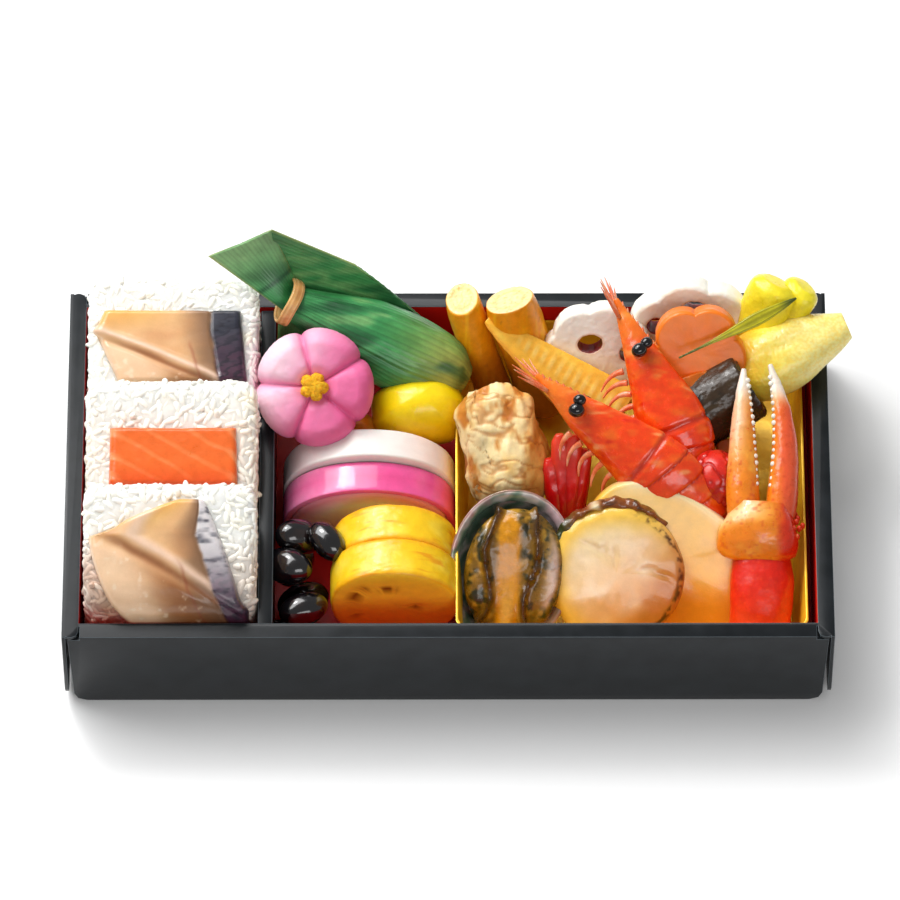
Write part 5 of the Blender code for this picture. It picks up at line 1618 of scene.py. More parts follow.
def build_roe(group):
    """The herring roe, the pair of yellow roe and the narrow leaf over them."""
    pale, yellow, green = tone255(group.roe), tone255(group.yellow_roe), tone255(group.blade)
    eggs = food_finish("herring roe", rough=(0.22, 0.4), mottle=(2.4, 0.10), grain=0.45, relief=(0.3, 0.35),
                       flesh=0.12, flesh_depth=(1.0, 0.7, 0.2), wet=0.5, wet_rough=0.12)
    inner, outer = np.array((84.6, 29.0, 37.0)), np.array((126.0, 43.6, 49.4))
    path = [inner + (outer - inner) * t for t in (0, 0.12, 0.3, 0.5, 0.7, 0.88, 1.0)]
    sections = [oval(r, r * 0.78, 170, 2.3) for r in (4.4, 8.6, 11.6, 12.0, 10.0, 6.8, 4.4)]

    def tint(spot):
        base = over(even(spot, pale), tone(254, 240, 166), ease(94.0, 116.0, spot.w[:, 0]) * 0.8)
        base = over(base, tone(246, 190, 44),
                    ease(102.0, 88.0, spot.w[:, 0] + 5 * spot.noise(6.0, 4)) * 0.85)
        # Painted shade: deeper yellow towards the bottom.
        base = over(base, tone(246, 186, 40), ease(42.0, 33.0, spot.w[:, 2] + 2 * spot.noise(5.0, 2)) * 0.6)
        # Painted shade between the little eggs.
        return over(base, base * (1.0, 0.95, 0.80), ease(0.5, 1.0, cells(spot.p, 1.0, 3)))

    def relief(spot):
        return 0.09 * (1 - cells(spot.p, 1.0, 3) ** 2) + 0.5 * spot.noise((9.0, 6.0, 6.0), 2)

    piece("roe_lobe", along(path, sections, 190), eggs, tint, ["herring_roe"], relief=relief)
    lobes = (((96.0, 43.0, 40.0), (104.0, 54.0, 58.5), 8.2),
             ((103.0, 46.0, 42.0), (112.8, 53.4, 57.0), 6.4))
    shapes = []
    for foot, top, radius in lobes:
        foot, top = np.array(foot), np.array(top)
        path = [foot + (top - foot) * t for t in (0.0, 0.2, 0.7, 0.93, 1.0)]
        sections = [oval(radius * k, radius * k * 0.72, 110, 2.3) for k in (0.5, 0.8, 1.0, 0.92, 0.6)]
        shapes.append(skin(along(path, sections, 90)))

    def yellow_tint(spot):
        base = over(even(spot, yellow), tone(250, 220, 40), ease(-0.1, 0.6, spot.noise(4.0, 3)) * 0.8)
        # Painted shade: deeper yellow towards the bottom.
        return over(base, tone(246, 196, 30), ease(52.0, 44.0, spot.w[:, 2]) * 0.6)

    shape_piece("yellow_roe_pair", merged(shapes), eggs, yellow_tint, ["yellow_roe"],
                relief=lambda spot: 0.08 * (1 - cells(spot.p, 1.0, 5) ** 2) + 0.35 * spot.noise(5.0, 2))
    path = bend((72.6, 26.4, 56.8), (92.0, 34.6, 61.0), (109.6, 46.0, 61.1), 6)
    sections = [oval(k, 0.42, 60, 3.0) for k in (0.3, 0.4, 0.8, 1.6, 2.1, 1.5, 0.25)]
    leafy = food_finish("green blade", rough=(0.28, 0.45), mottle=(3.0, 0.18), grain=0.4,
                        relief=(0.2, 0.25),
                        flesh=0.15, flesh_depth=(0.6, 0.9, 0.1), wet=0.35, wet_rough=0.15)

    def blade_tint(spot):
        x = spot.w[:, 0]
        base = over(even(spot, green), tone(64, 84, 14), ease(86.0, 76.0, x) * 0.8)
        base = over(base, tone(50, 66, 12), ease(103.0, 109.0, x) * 0.85)
        return over(base, base * 0.7, ease(0.2, 1.0, np.sin(math.tau * spot.v * 9)) * 0.6)

    piece("blade_leaf", along(path, sections, 130, up=(0, -0.5, 0.86)), leafy, blade_tint,
          ["green_blade"],
          relief=lambda spot: 0.06 * np.sin(math.tau * spot.v * 9) + 0.1 * spot.noise(4.0, 3))


def build_simmered(group):
    """The kelp roll, two small simmered pieces and the salted plum."""
    kelp, amber, red = tone255(group.kelp), tone255(group.simmered), tone255(group.plum)
    slick = food_finish("simmered kelp", rough=(0.16, 0.34), mottle=(3.0, 0.25), grain=0.5,
                        relief=(0.4, 0.3), wet=0.35, wet_rough=0.10, shine=0.35)
    outline = oval(12.2, 11.0, 180)
    levels = [(0.04, 1.2), (0.5, 0.8), (0.82, 0.0), (1.0, 1.4), (1.0, 24.0), (0.84, 25.6), (0.5, 24.8),
              (0.04, 24.2)]

    def roll(spot):
        reach, turn = np.hypot(spot.x / 12.2, spot.y / 11.0) * 3.2, np.arctan2(spot.y, spot.x) / math.tau
        return band(0.5, 0.2, (reach - turn) % 1.0) * ease(0.7, 0.9, np.abs(spot.n[:, 2]))

    def kelp_tint(spot):
        base = over(even(spot, kelp), tone(74, 58, 26),
                    ease(-0.1, 0.6, spot.noise((5.0, 5.0, 9.0), 3, 3)) * 0.7)
        base = over(base, tone(30, 28, 22), ease(0.2, 0.6, spot.noise(3.0, 8)) * 0.7)
        return over(base, tone(132, 92, 56), roll(spot) * 0.8)

    def kelp_relief(spot):
        wrinkle = 0.45 * spot.noise((3.0, 3.0, 9.0), 3, 3) + 0.12 * spot.noise(1.2, 6)
        return wrinkle - 0.8 * roll(spot)

    piece("kelp_roll_whole", stack(outline, levels, 120), slick, kelp_tint, ["kelp_roll"],
          pose(73.6, 16.6, 33.5, (0, 70, 24)), kelp_relief)
    glazed = food_finish("simmered root", rough=(0.3, 0.45), mottle=(2.5, 0.15), grain=0.5,
                         relief=(0.4, 0.3), flesh=0.25, flesh_depth=(1.0, 0.4, 0.1), wet=0.3)
    for name, wide, long, high, place in (
        ("simmered_cube", 11.5, 10.0, 10.0, pose(77.6, 25.2, 38.0, (24, 0, 20))),
        ("simmered_strip", 12.0, 9.0, 7.0, pose(90.4, 9.5, 27.0, (24, 0, 10))),
    ):
        shape = disc(oval(wide / 2, long / 2, 110, 5.0), high, 0.12)
        piece(name + "_piece", shape, glazed,
              lambda spot: over(even(spot, amber), tone(232, 132, 34), ease(-0.2, 0.6, spot.noise(3.0, 4))),
              [name], place, lambda spot: 0.28 * spot.noise(2.6, 3) + 0.1 * spot.noise(0.9, 5))
    salted = food_finish("salted plum", rough=(0.18, 0.36), mottle=(2.5, 0.15), grain=0.4,
                         relief=(0.3, 0.3),
                         flesh=0.3, flesh_depth=(1.0, 0.15, 0.06), wet=0.6, wet_rough=0.10)

    def wrinkles(spot):
        return 1 - 2.6 * np.abs(spot.noise((4.0, 4.0, 8.0), 5, 2))

    def plum_tint(spot):
        # Painted shade down in the wrinkles.
        base = over(even(spot, red), tone(178, 20, 14), ease(0.2, 0.9, wrinkles(spot)) * 0.7)
        return over(base, tone(234, 84, 50), ease(0.0, 0.6, spot.noise(5.0, 7)) * 0.5)

    piece("plum_whole", orb((9.8, 9.8, 10.8), 90, 110), salted, plum_tint, ["red_plum"],
          pose(84.2, -4.6, 34.0, (20, 0, 10)), lambda spot: 0.1 - 0.55 * ease(0.2, 1.0, wrinkles(spot)))


# ---------------------------------------------------------------- crab


def build_crab(group):
    """The crab claw with its teeth and spines, and the arm below it."""
    warm, red, cream = tone255(group.crab), tone255(group.crab_red), tone255(group.crab_tip)
    shell = food_finish("boiled crab shell", rough=(0.20, 0.38), mottle=(2.6, 0.12), grain=0.4,
                        relief=(0.3, 0.3),
                        flesh=0.12, flesh_depth=(1.0, 0.4, 0.15), wet=0.8, wet_rough=0.10)
    palm_path = [(96.2, -31.4, 29.2), (96.3, -30.6, 30.2), (96.4, -29.4, 31.2), (97.0, -26.2, 33.6),
                 (97.8, -21.0, 36.8), (98.2, -16.4, 39.0)]
    palm = [oval(w, h, 130, 2.2) for w,
            h in ((8.0, 3.4), (11.0, 5.4), (12.4, 6.6), (12.8, 8.0), (10.8, 8.0), (8.2, 6.2))]
    shapes, teeth = [skin(along(palm_path, palm, 90))], []
    fingers = (
        ((92.4, -20.0, 37.2), (92.0, 3.0, 48.0), (92.9, 23.6, 54.6), 5.2, 1),
        ((103.6, -20.6, 37.0), (108.4, 3.0, 47.4), (101.2, 25.0, 54.8), 4.8, -1),
    )
    for root, knuckle, tip, girth, inward in fingers:
        path = bend(root, knuckle, tip, 6)
        share = (1.0, 1.0, 0.92, 0.80, 0.64, 0.42, 0.14)
        shapes.append(skin(along(path, [oval(girth * k, girth * 0.9 * k, 90) for k in share], 150)))
        fine = bend(root, knuckle, tip, 22)
        for k in range(4, 21):
            g = girth * np.interp(k / 22, np.linspace(0, 1, 7), share)
            at = fine[k] + (inward * g * 0.82, -0.1, g * 0.42)
            size = 0.66 + 0.2 * math.sin(2.1 * k) * (k % 2) + 0.12 * (k % 3)
            bump = orb((size, size * 0.95, size * 0.9), 12, 16)
            teeth.append(skin(bump + at))
    knobs = []
    for i in range(26):
        a, ring = i * 2.399, math.sqrt((i + 0.5) / 26)
        at = np.array((106.0 + 5.4 * ring * math.cos(a), -23.5 + 6.0 * ring * math.sin(a),
                       38.2 - 3.0 * ring * ring))
        knobs.append(skin(orb((0.85, 0.85, 1.5), 10, 12) + at))
    starts = np.cumsum([0] + [len(s[0]) for s in shapes])
    part = np.repeat(np.arange(len(shapes)), np.diff(starts))

    def tint(spot):
        x, y = spot.w[:, 0], spot.w[:, 1]
        drift = spot.noise(5.0, 2)
        base = over(even(spot, warm), tone(250, 182, 70), ease(-0.1, 0.6, drift) * 0.7)
        base = over(base, tone(252, 226, 170),
                    (part == 0) * band(-22.0, 6.0, y) * ease(104.0, 92.0, x) * 0.8)
        base = over(base, tone(250, 214, 190),
                    (part == 1) * ease(-14.0, 6.0, y) * ease(96.0, 90.0, x + 2 * drift) * 0.75)
        base = over(base, tone(232, 84, 50),
                    (part == 2) * ease(101.0, 106.0, x + 1.5 * drift) * ease(22.0, 8.0, y) * 0.9)
        base = over(base, red, (part == 0) * ease(101.0, 106.0, x + 2 * drift) * 0.85)
        base = over(base, cream, (part > 0) * ease(9.0, 19.0, y + 2 * drift) * 0.95)
        speck = ease(0.42, 0.62, spot.noise(1.1, 9, 1)) * ease(14.0, 0.0, y)
        return over(base, tone(206, 60, 24), speck * 0.35)

    def relief(spot):
        ripple = band(-16.5, 1.6, spot.w[:, 1]) * (part == 0)
        return 0.25 * spot.noise(5.0, 3) + 0.09 * spot.noise(1.1, 5) - 0.6 * ripple

    shape_piece("claw_shell", merged(shapes), shell, tint, ["crab_claw"], relief=relief)
    tooth = food_finish("crab teeth", rough=(0.2, 0.35), mottle=(1.2, 0.08), grain=0.3, relief=(0.15, 0.2),
                        flesh=0.35, flesh_depth=(1.0, 0.8, 0.6), wet=0.5, wet_rough=0.1)
    shape_piece("claw_teeth", merged(teeth), tooth,
                lambda spot: over(even(spot, tone(250, 240, 224)), tone(206, 150, 96),
                                  ease(0.35, 0.8, spot.noise(1.6, 4))))
    shape_piece("claw_spines", merged(knobs), shell,
                lambda spot: over(even(spot, tone(226, 62, 30)), tone(246, 150, 70),
                                  ease(0.3, 0.8, spot.noise(2.0, 4))))
    arm_path = bend((98.2, -29.6, 29.4), (98.6, -40.0, 23.6), (96.6, -56.0, 12.0), 3)
    arm = [oval(w, h, 130, 2.2) for w, h in ((8.8, 6.6), (10.0, 8.2), (9.6, 8.0), (8.4, 6.6))]
    velvet = food_finish("crab arm shell", rough=(0.30, 0.46), mottle=(2.4, 0.14), grain=0.35,
                         relief=(0.3, 0.3),
                         flesh=0.05, flesh_depth=(1.0, 0.2, 0.08), wet=0.25, wet_rough=0.2)

    def arm_tint(spot):
        base = over(even(spot, red), tone(240, 92, 20),
                    ease(-38.0, -56.0, spot.w[:, 1] + 3 * spot.noise(5.0, 3)) * 0.7)
        return over(base, tone(246, 84, 26), ease(0.55, 0.25, cells(spot.p, 1.5, 2)) * 0.3)

    piece("arm_shell", along(arm_path, arm, 120), velvet, arm_tint, ["crab_arm"],
          relief=lambda spot: 0.07 * (1 - cells(spot.p, 1.5, 2)) + 0.35 * spot.noise(5.0, 3))


# ---------------------------------------------------------------- shellfish and fish at the front


def build_abalone(group):
    """The shell and its foot, with two dark ruffled folds."""
    foot, mantle = tone255(group.abalone), tone255(group.mantle)
    place = facing(19.6, -32.4, 26.0, roll=-8.0, tilt=38)
    nacre = food_finish("abalone nacre", rough=(0.14, 0.3), mottle=(2.5, 0.15), grain=0.5,
                        relief=(0.2, 0.2), wet=0.5, wet_rough=0.08, metal=0.25)
    levels = [(0.04, -9.6), (0.40, -9.0), (0.84, -6.0), (1.0, 1.4), (0.985, 1.9), (0.955, 1.8),
              (0.78, -4.4),
              (0.38, -7.4), (0.04, -7.8)]

    def shell_tint(spot):
        line = np.sin((spot.x * 0.9 - spot.y * 0.5) * 1.1 + 5 * spot.noise(5.0, 3))
        base = over(even(spot, tone(140, 158, 140)), tone(214, 206, 204), ease(0.0, 1.0, line) * 0.8)
        base = over(base, tone(72, 112, 92), ease(0.2, 1.0, -line) * 0.6)
        base = over(base, tone(214, 150, 160), ease(0.1, 0.6, spot.noise(4.0, 6)) * 0.6)
        base = over(base, tone(236, 206, 214), ease(2.0, 12.0, spot.x) * (spot.z > -6) * 0.7)
        rim = band(1.0, 0.025, np.hypot(spot.x / 19.4, spot.y / 25.0)) * (spot.z > 0.6)
        base = over(base, tone(170, 116, 98), rim * 0.8)
        return over(base, tone(120, 84, 66), (spot.n[:, 2] < 0.1) * 0.7)

    piece("abalone_shell_half", stack(oval(19.4, 25.0, 180, 2.15), levels, 110), nacre,
          shell_tint,
          ["abalone_shell"], place, lambda spot: 0.22 * spot.noise((3.0, 3.0, 3.0), 3, 3))
    edge = oval(19.4, 25.0, 220, 2.1)
    rings = []
    for k, h in resample([(0.03, -6.6), (0.34, -6.4), (0.70, -3.6), (0.86, 1.2), (0.78, 3.6), (0.5, 5.0),
                          (0.2, 4.4),
                          (0.03, 4.2)], 130):
        fold = 1.1 * np.cos(math.pi * edge[:, 0] / 9.0) * ease(0.35, 0.8, k) * ease(1.2, 3.4, h)
        rings.append(np.stack([edge[:, 0] * k * 0.93 + 1.2, edge[:, 1] * k * 0.95 - 1.2, h + fold], 1))
    fleshy = food_finish("abalone meat", rough=(0.18, 0.34), mottle=(2.0, 0.18), grain=0.45,
                         relief=(0.35, 0.3),
                         flesh=0.06, flesh_depth=(1.0, 0.55, 0.15), wet=0.65, wet_rough=0.09)

    def folds(spot):
        sway = 1.6 * np.sin(spot.y * 0.22 + 0.5) + 0.7 * spot.noise(4.0, 3)
        return band(-7.2, 1.7, spot.x + sway), band(6.4, 1.8, spot.x - sway * 0.8)

    def meat_tint(spot):
        left, right = folds(spot)
        reach = np.hypot(spot.x / 16.7, spot.y / 21.5)
        spotty = spot.noise(2.2, 7, 3)
        base = over(even(spot, mantle), tone(40, 40, 16), ease(0.0, 0.35, spotty) * 0.9)
        base = over(base, tone(216, 160, 50), ease(0.1, 0.5, spot.noise(2.6, 12)) * 0.7)
        middle = band(-0.4, 5.6, spot.x + 0.10 * (spot.y + 4)) * ease(20.0, 12.0, spot.y)
        base = over(base, foot, ease(0.0, 0.55, middle) * 0.92)
        base = over(base, tone(232, 178, 84), ease(0.45, 1.0, middle) * ease(2.0, -14.0, spot.y) * 0.7)
        base = over(base, tone(64, 36, 14), np.maximum(left, right) * ease(0.98, 0.85, reach) * 0.85)
        base = over(base, tone(232, 204, 200), ease(9.0, 13.5, spot.x) * ease(0.97, 0.85, reach) * 0.75)
        return over(base, tone(42, 44, 24), ease(0.86, 0.98, reach) * ease(0.0, 0.4, spotty + 0.2) * 0.6)

    def meat_relief(spot):
        left, right = folds(spot)
        ruffle = 1.0 + 0.55 * spot.noise((2.0, 2.6, 2.0), 2, 2)
        top = spot.n[:, 2] > 0.0
        near = ease(0.10, 0.42, np.hypot(spot.x / 17, spot.y / 22))
        return ((left + right) * 1.9 * ruffle * near + 0.30 * spot.noise(2.6, 7, 2) * near) * top

    piece("abalone_foot", np.array(rings), fleshy, meat_tint, ["abalone_meat"], place,
          meat_relief)


def build_scallop(group):
    """The scallop, its frill, and the cured slice behind it."""
    beige, brown, cured = tone255(group.scallop), tone255(group.frill), tone255(group.fish_slice)
    place = facing(52.8, -32.6, 23.4, roll=4.0, tilt=40)
    levels = [(0.03, -7.6), (0.80, -7.0), (1.0, -3.0), (0.99, 2.4), (0.88, 5.0), (0.5, 6.0), (0.03, 6.2)]
    tender = food_finish("scallop meat", rough=(0.16, 0.32), mottle=(3.0, 0.08), grain=0.5,
                         relief=(0.3, 0.25),
                         flesh=0.14, flesh_depth=(1.0, 0.7, 0.3), wet=0.6, wet_rough=0.09)

    def tint(spot):
        reach = np.hypot(spot.x, spot.y) / 21.6
        light = (-spot.x + spot.y) / 30.0
        # Painted highlight: paler on the upper left, towards the key light.
        base = over(even(spot, beige), tone(252, 228, 178), ease(-0.2, 0.6, light) * 0.85)
        # A yellow rim, stronger on the lit side as painted highlight.
        base = over(base, tone(246, 196, 70),
                    ease(0.62, 0.93, reach + 0.05 * spot.noise(5.0, 8)) * ease(-0.7, 0.3, light) * 0.9)
        # Painted shade: brown on the side away from the light.
        base = over(base, tone(188, 106, 30), ease(0.1, -0.9, light + 0.15 * spot.noise(6.0, 4)) * 0.8)
        # Painted highlight: a pale sheen over the middle.
        base = over(base, tone(255, 238, 214),
                    ease(0.75, 0.3, reach) * ease(-0.3, 0.4, spot.noise(7.0, 2)) * 0.8)
        right = ease(-4.0, 8.0, spot.x - 0.4 * spot.y)
        edge = band(0.93, 0.07, reach) * right * ease(-0.2, 0.3, spot.noise(1.5, 9))
        return over(base, tone(70, 40, 24), edge * 0.85)

    def relief(spot):
        line = spot.y - 6.0 + 0.5 * spot.x + 2.0 * spot.noise(6.0, 7)
        dent = band(0.0, 1.6, line) * ease(18.0, 8.0, np.abs(spot.x - 4.0)) * (spot.n[:, 2] > 0.3)
        far = ease(1.5, 6.0, np.hypot(spot.x, spot.y))
        return far * (0.7 * spot.noise(9.0, 2) + 0.10 * spot.noise(2.8, 5) - 0.7 * dent)

    piece("scallop_round", stack(oval(21.4, 21.8, 200, 2.1), levels, 120), tender, tint,
          ["scallop"],
          place, relief)
    path, sections = [], []
    for i in range(8):
        a = math.radians(150 - 110 * i / 7)
        path.append(laid(np.array((21.2 * math.cos(a), 22.4 * math.sin(a), 1.0)), place))
        k = 1.0 if 0 < i < 7 else 0.45
        sections.append(oval((1.8 + 0.6 * math.sin(1.9 * i)) * k, (3.4 + 0.5 * math.cos(2.3 * i)) * k, 80))

    def frill_tint(spot):
        base = over(even(spot, brown), tone(64, 34, 18), ease(0.0, 0.5, spot.noise(2.0, 3)) * 0.8)
        base = over(base, tone(38, 66, 36),
                    ease(0.35, 0.1, spot.u) * ease(0.0, 0.6, spot.noise(4.0, 8) + 0.3) * 0.8)
        return over(base, tone(246, 240, 198), band(0.42, 0.07, spot.u) * 0.8)

    def frill_relief(spot):
        return 0.30 * np.sin(spot.u * 46 + 3 * spot.noise(4.0, 2)) + 0.3 * spot.noise(2.2, 5)

    piece("scallop_frill_edge", along(path, sections, 200, up=(0, -0.6, 0.8)), tender,
          frill_tint,
          ["scallop_frill"], relief=frill_relief)
    slab = oval(31.0, 20.0, 200, 2.2)
    slab[:, 1] *= 1 + 0.10 * slab[:, 0] / 30
    levels = [(0.03, -3.2), (0.93, -3.2), (0.98, -2.7), (1.0, -1.0), (1.0, 1.0), (0.98, 2.7), (0.93, 3.2),
              (0.5, 3.3),
              (0.03, 3.3)]

    def slice_tint(spot):
        base = over(even(spot, cured), tone(252, 206, 130), ease(-0.1, 0.6, spot.noise(9.0, 2)) * 0.5)
        rim = ease(0.84, 0.97, np.hypot(spot.x / 31.0, spot.y / 20.0))
        base = over(base, tone(254, 238, 198), rim * ease(-4.0, 12.0, spot.y) * 0.85)
        base = over(base, tone(252, 178, 24), ease(12.0, -8.0, spot.y + 3 * spot.noise(6.0, 5)) * 0.75)
        # Painted shade: darker orange towards the bottom.
        return over(base, tone(222, 130, 20), ease(24.0, 14.0, spot.w[:, 2]) * 0.7)

    piece("cured_slice", stack(slab, levels, 90), tender, slice_tint, ["fish_slice"],
          facing(70.6, -27.6, 24.0, roll=-42.0, tilt=44),
          lambda spot: 0.35 * spot.noise(8.0, 2) + 0.05 * spot.noise(2.6, 4))


# ---------------------------------------------------------------- settings


def tone255(colour):
    return np.array(colour[:3], float) * 255.0


def colour_setting(name, text, red, green, blue):
    """A colour that the user can change, given on a scale of 0 to 255."""
    return FloatVectorProperty(
        name=name, description=text, subtype="COLOR_GAMMA", size=3, min=0.0, max=1.0,
        default=(red / 255, green / 255, blue / 255),
    )


def length_setting(name, text, default_mm, low_mm, high_mm):
    """A length that the user can change, given in millimetres."""
    return FloatProperty(
        name=name, description=text, default=default_mm * MM, min=low_mm * MM, max=high_mm * MM,
        subtype="DISTANCE", unit="LENGTH",
    )


class BoxSettings(bpy.types.PropertyGroup):
    """The tray, the divider and the liner."""

    outside: colour_setting("Outside", "Colour of the coated outside of the card", 30, 36, 41)
    lining: colour_setting("Lining", "Colour of the inside walls", 186, 20, 18)
    # The colour of the painted highlight on every softened edge and fold, and of the card where its edge is
    # cut.
    cut_edge: colour_setting("Edge highlight", "Colour of the painted highlight on the folds and cut edges", 74, 84, 90)
    foil: colour_setting("Liner", "Colour of the gold liner", 244, 196, 40)
    fold: length_setting("Fold radius", "Width of the softened folds", 0.28, 0.05, 0.6)


class RiceSettings(bpy.types.PropertyGroup):
    """The pressed rice and the fish on it."""

    rice: colour_setting("Rice", "Colour of clean steamed rice", 250, 249, 240)
    # Colour of the painted shade and red-brown painted reflection of the lining, low on the front of the
    # front block.
    stain: colour_setting("Front shade", "Colour of the painted shade and lining reflection low on the front rice", 166, 110, 80)
    grain_length: length_setting("Grain length", "Length of one cooked grain", 5.0, 3.0, 8.0)
    grain_width: length_setting("Grain width", "Width of one cooked grain", 2.35, 1.5, 3.5)
    spacing: length_setting("Grain spacing", "Least distance between the middles of two grains", 1.8, 1.4,
                            4.0)
    mackerel: colour_setting("Mackerel", "Colour of the cured mackerel's flesh", 214, 158, 108)
    mackerel_skin: colour_setting("Mackerel skin", "Colour of the mackerel's back skin", 62, 64, 84)
    salmon: colour_setting("Salmon", "Colour of the cured salmon", 238, 108, 42)


class ParcelSettings(bpy.types.PropertyGroup):
    """The leaf parcel and the blossom sweet."""

    leaf: colour_setting("Leaf", "Colour of the folded leaf", 66, 156, 88)
    leaf_end: colour_setting("Leaf end", "Colour of the leaf's faded end", 170, 176, 84)
    tie: colour_setting("Tie", "Colour of the straw tie", 218, 164, 96)
    # Petal is the colour of the painted highlight on the lit side of the petals, and Crease that of the
    # painted shade down the creases.
    petal: colour_setting("Petal", "Colour of the pale side of the petals", 252, 216, 228)
    crease: colour_setting("Crease", "Colour down in the creases between petals", 232, 92, 150)
    yolk: colour_setting("Yolk", "Colour of the crumb in the middle", 252, 186, 16)


class MiddleSettings(bpy.types.PropertyGroup):
    """Fishcake, egg, beans and chestnut."""

    fishcake: colour_setting("Fishcake", "Colour of the white of the fishcake", 242, 236, 230)
    fishcake_skin: colour_setting("Fishcake skin", "Colour of the fishcake's dyed skin", 236, 92, 156)
    egg: colour_setting("Egg", "Colour of the rolled egg", 252, 204, 26)
    egg_brown: colour_setting("Browned egg", "Colour where the egg has browned", 232, 146, 12)
    bean: colour_setting("Bean", "Colour of the black beans", 12, 10, 14)
    chestnut: colour_setting("Chestnut", "Colour of the candied chestnut", 255, 220, 8)
    # The colour of the painted shade on the chestnut's lower side.
    chestnut_low: colour_setting("Chestnut shade", "Colour of the chestnut's lower side", 186, 120, 18)


class RootSettings(bpy.types.PropertyGroup):
    """Simmered roots, curd and pickle."""

    burdock_cut: colour_setting("Burdock cut", "Colour of the burdock's cut ends", 250, 232, 168)
    burdock: colour_setting("Burdock", "Colour of the burdock's sides", 244, 156, 8)
    shoot: colour_setting("Bamboo shoot", "Colour of the bamboo shoot", 250, 186, 56)
    lotus: colour_setting("Lotus", "Colour of the lotus root's cut face", 252, 248, 236)
    carrot: colour_setting("Carrot", "Colour of the carrot", 248, 122, 16)
    curd: colour_setting("Fried curd", "Colour of the curd's pale side", 252, 226, 168)
    # The colour of the painted shade on the side of the curd away from the light.
    curd_brown: colour_setting("Fried curd shade", "Colour of the painted shade on the curd's far side", 190, 138, 88)
    pickle: colour_setting("Pickle", "Colour of the red pickle", 220, 14, 16)


class RightSettings(bpy.types.PropertyGroup):
    """Shrimp, roe, kelp and crab."""

    shrimp: colour_setting("Shrimp", "Colour of the boiled shrimp", 244, 66, 8)
    shrimp_light: colour_setting("Shrimp light", "Colour of the shrimp's lighter bands", 255, 126, 30)
    roe: colour_setting("Roe", "Colour of the herring roe", 252, 226, 74)
    yellow_roe: colour_setting("Yellow roe", "Colour of the green-tinged roe", 246, 228, 44)
    blade: colour_setting("Blade", "Colour of the narrow leaf", 196, 186, 28)
    kelp: colour_setting("Kelp", "Colour of the simmered kelp", 62, 46, 30)
    simmered: colour_setting("Simmered pieces", "Colour of the small simmered pieces", 206, 104, 18)
    plum: colour_setting("Plum", "Colour of the salted plum", 218, 40, 26)
    crab: colour_setting("Crab", "Colour of the crab's palm and fingers", 242, 134, 26)
    crab_red: colour_setting("Crab red", "Colour of the crab's red shell", 226, 34, 10)
    crab_tip: colour_setting("Crab tip", "Colour of the finger tips", 248, 236, 222)


class FrontSettings(bpy.types.PropertyGroup):
    """Abalone, scallop and the cured slice."""

    abalone: colour_setting("Abalone foot", "Colour of the middle of the abalone", 226, 150, 14)
    mantle: colour_setting("Abalone mantle", "Colour of the abalone's mottled rim", 128, 92, 22)
    scallop: colour_setting("Scallop", "Colour of the scallop", 246, 204, 150)
    frill: colour_setting("Frill", "Colour of the scallop's frill", 132, 72, 32)
    fish_slice: colour_setting("Cured slice", "Colour of the cured slice", 254, 204, 104)


class StageSettings(bpy.types.PropertyGroup):
    """Floor, lights and camera."""

    floor: colour_setting("Floor", "Colour of the floor", 252, 252, 252)
    key: FloatProperty(name="Key light", description="Power of the large soft light", default=22.0, min=0.0,
                       unit="POWER")
    fill: FloatProperty(name="Fill light", description="Power of the front light", default=5.0, min=0.0,
                        unit="POWER")
    sky: FloatProperty(name="Sky", description="Strength of the light from all round", default=0.30,
                       min=0.0)
    lens: FloatProperty(name="Lens", description="Focal length of the camera in millimetres",
                        default=342.896, min=20.0)
    elevation: FloatProperty(
        name="Elevation", description="Height of the camera's view above level", default=math.radians(57.0),
        min=0.0, max=math.radians(90.0), subtype="ANGLE",
    )


# ---------------------------------------------------------------- stage


FLOOR_HALF, FLOOR_DROP = 3.0, 0.0005
LIT_POINT = (0.0, 0.0, 0.03)
WINDOW_SHARE = 0.14
EYE_DISTANCE, EYE_YAW = 2.699, -0.079
EYE_SHIFT = (0.002295, 0.027894)


def area_light(name, place, target, size, power):
    """A soft rectangular light turned to its target."""
    light = bpy.data.lights.new(name, "AREA")
    light.shape = "RECTANGLE"
    light.size, light.size_y = size
    light.energy = power
    obj = bpy.data.objects.new(name, light)
    obj.location = place
    obj.rotation_euler = (Vector(target) - Vector(place)).to_track_quat("-Z", "Y").to_euler()
    bpy.context.scene.collection.objects.link(obj)
    return obj


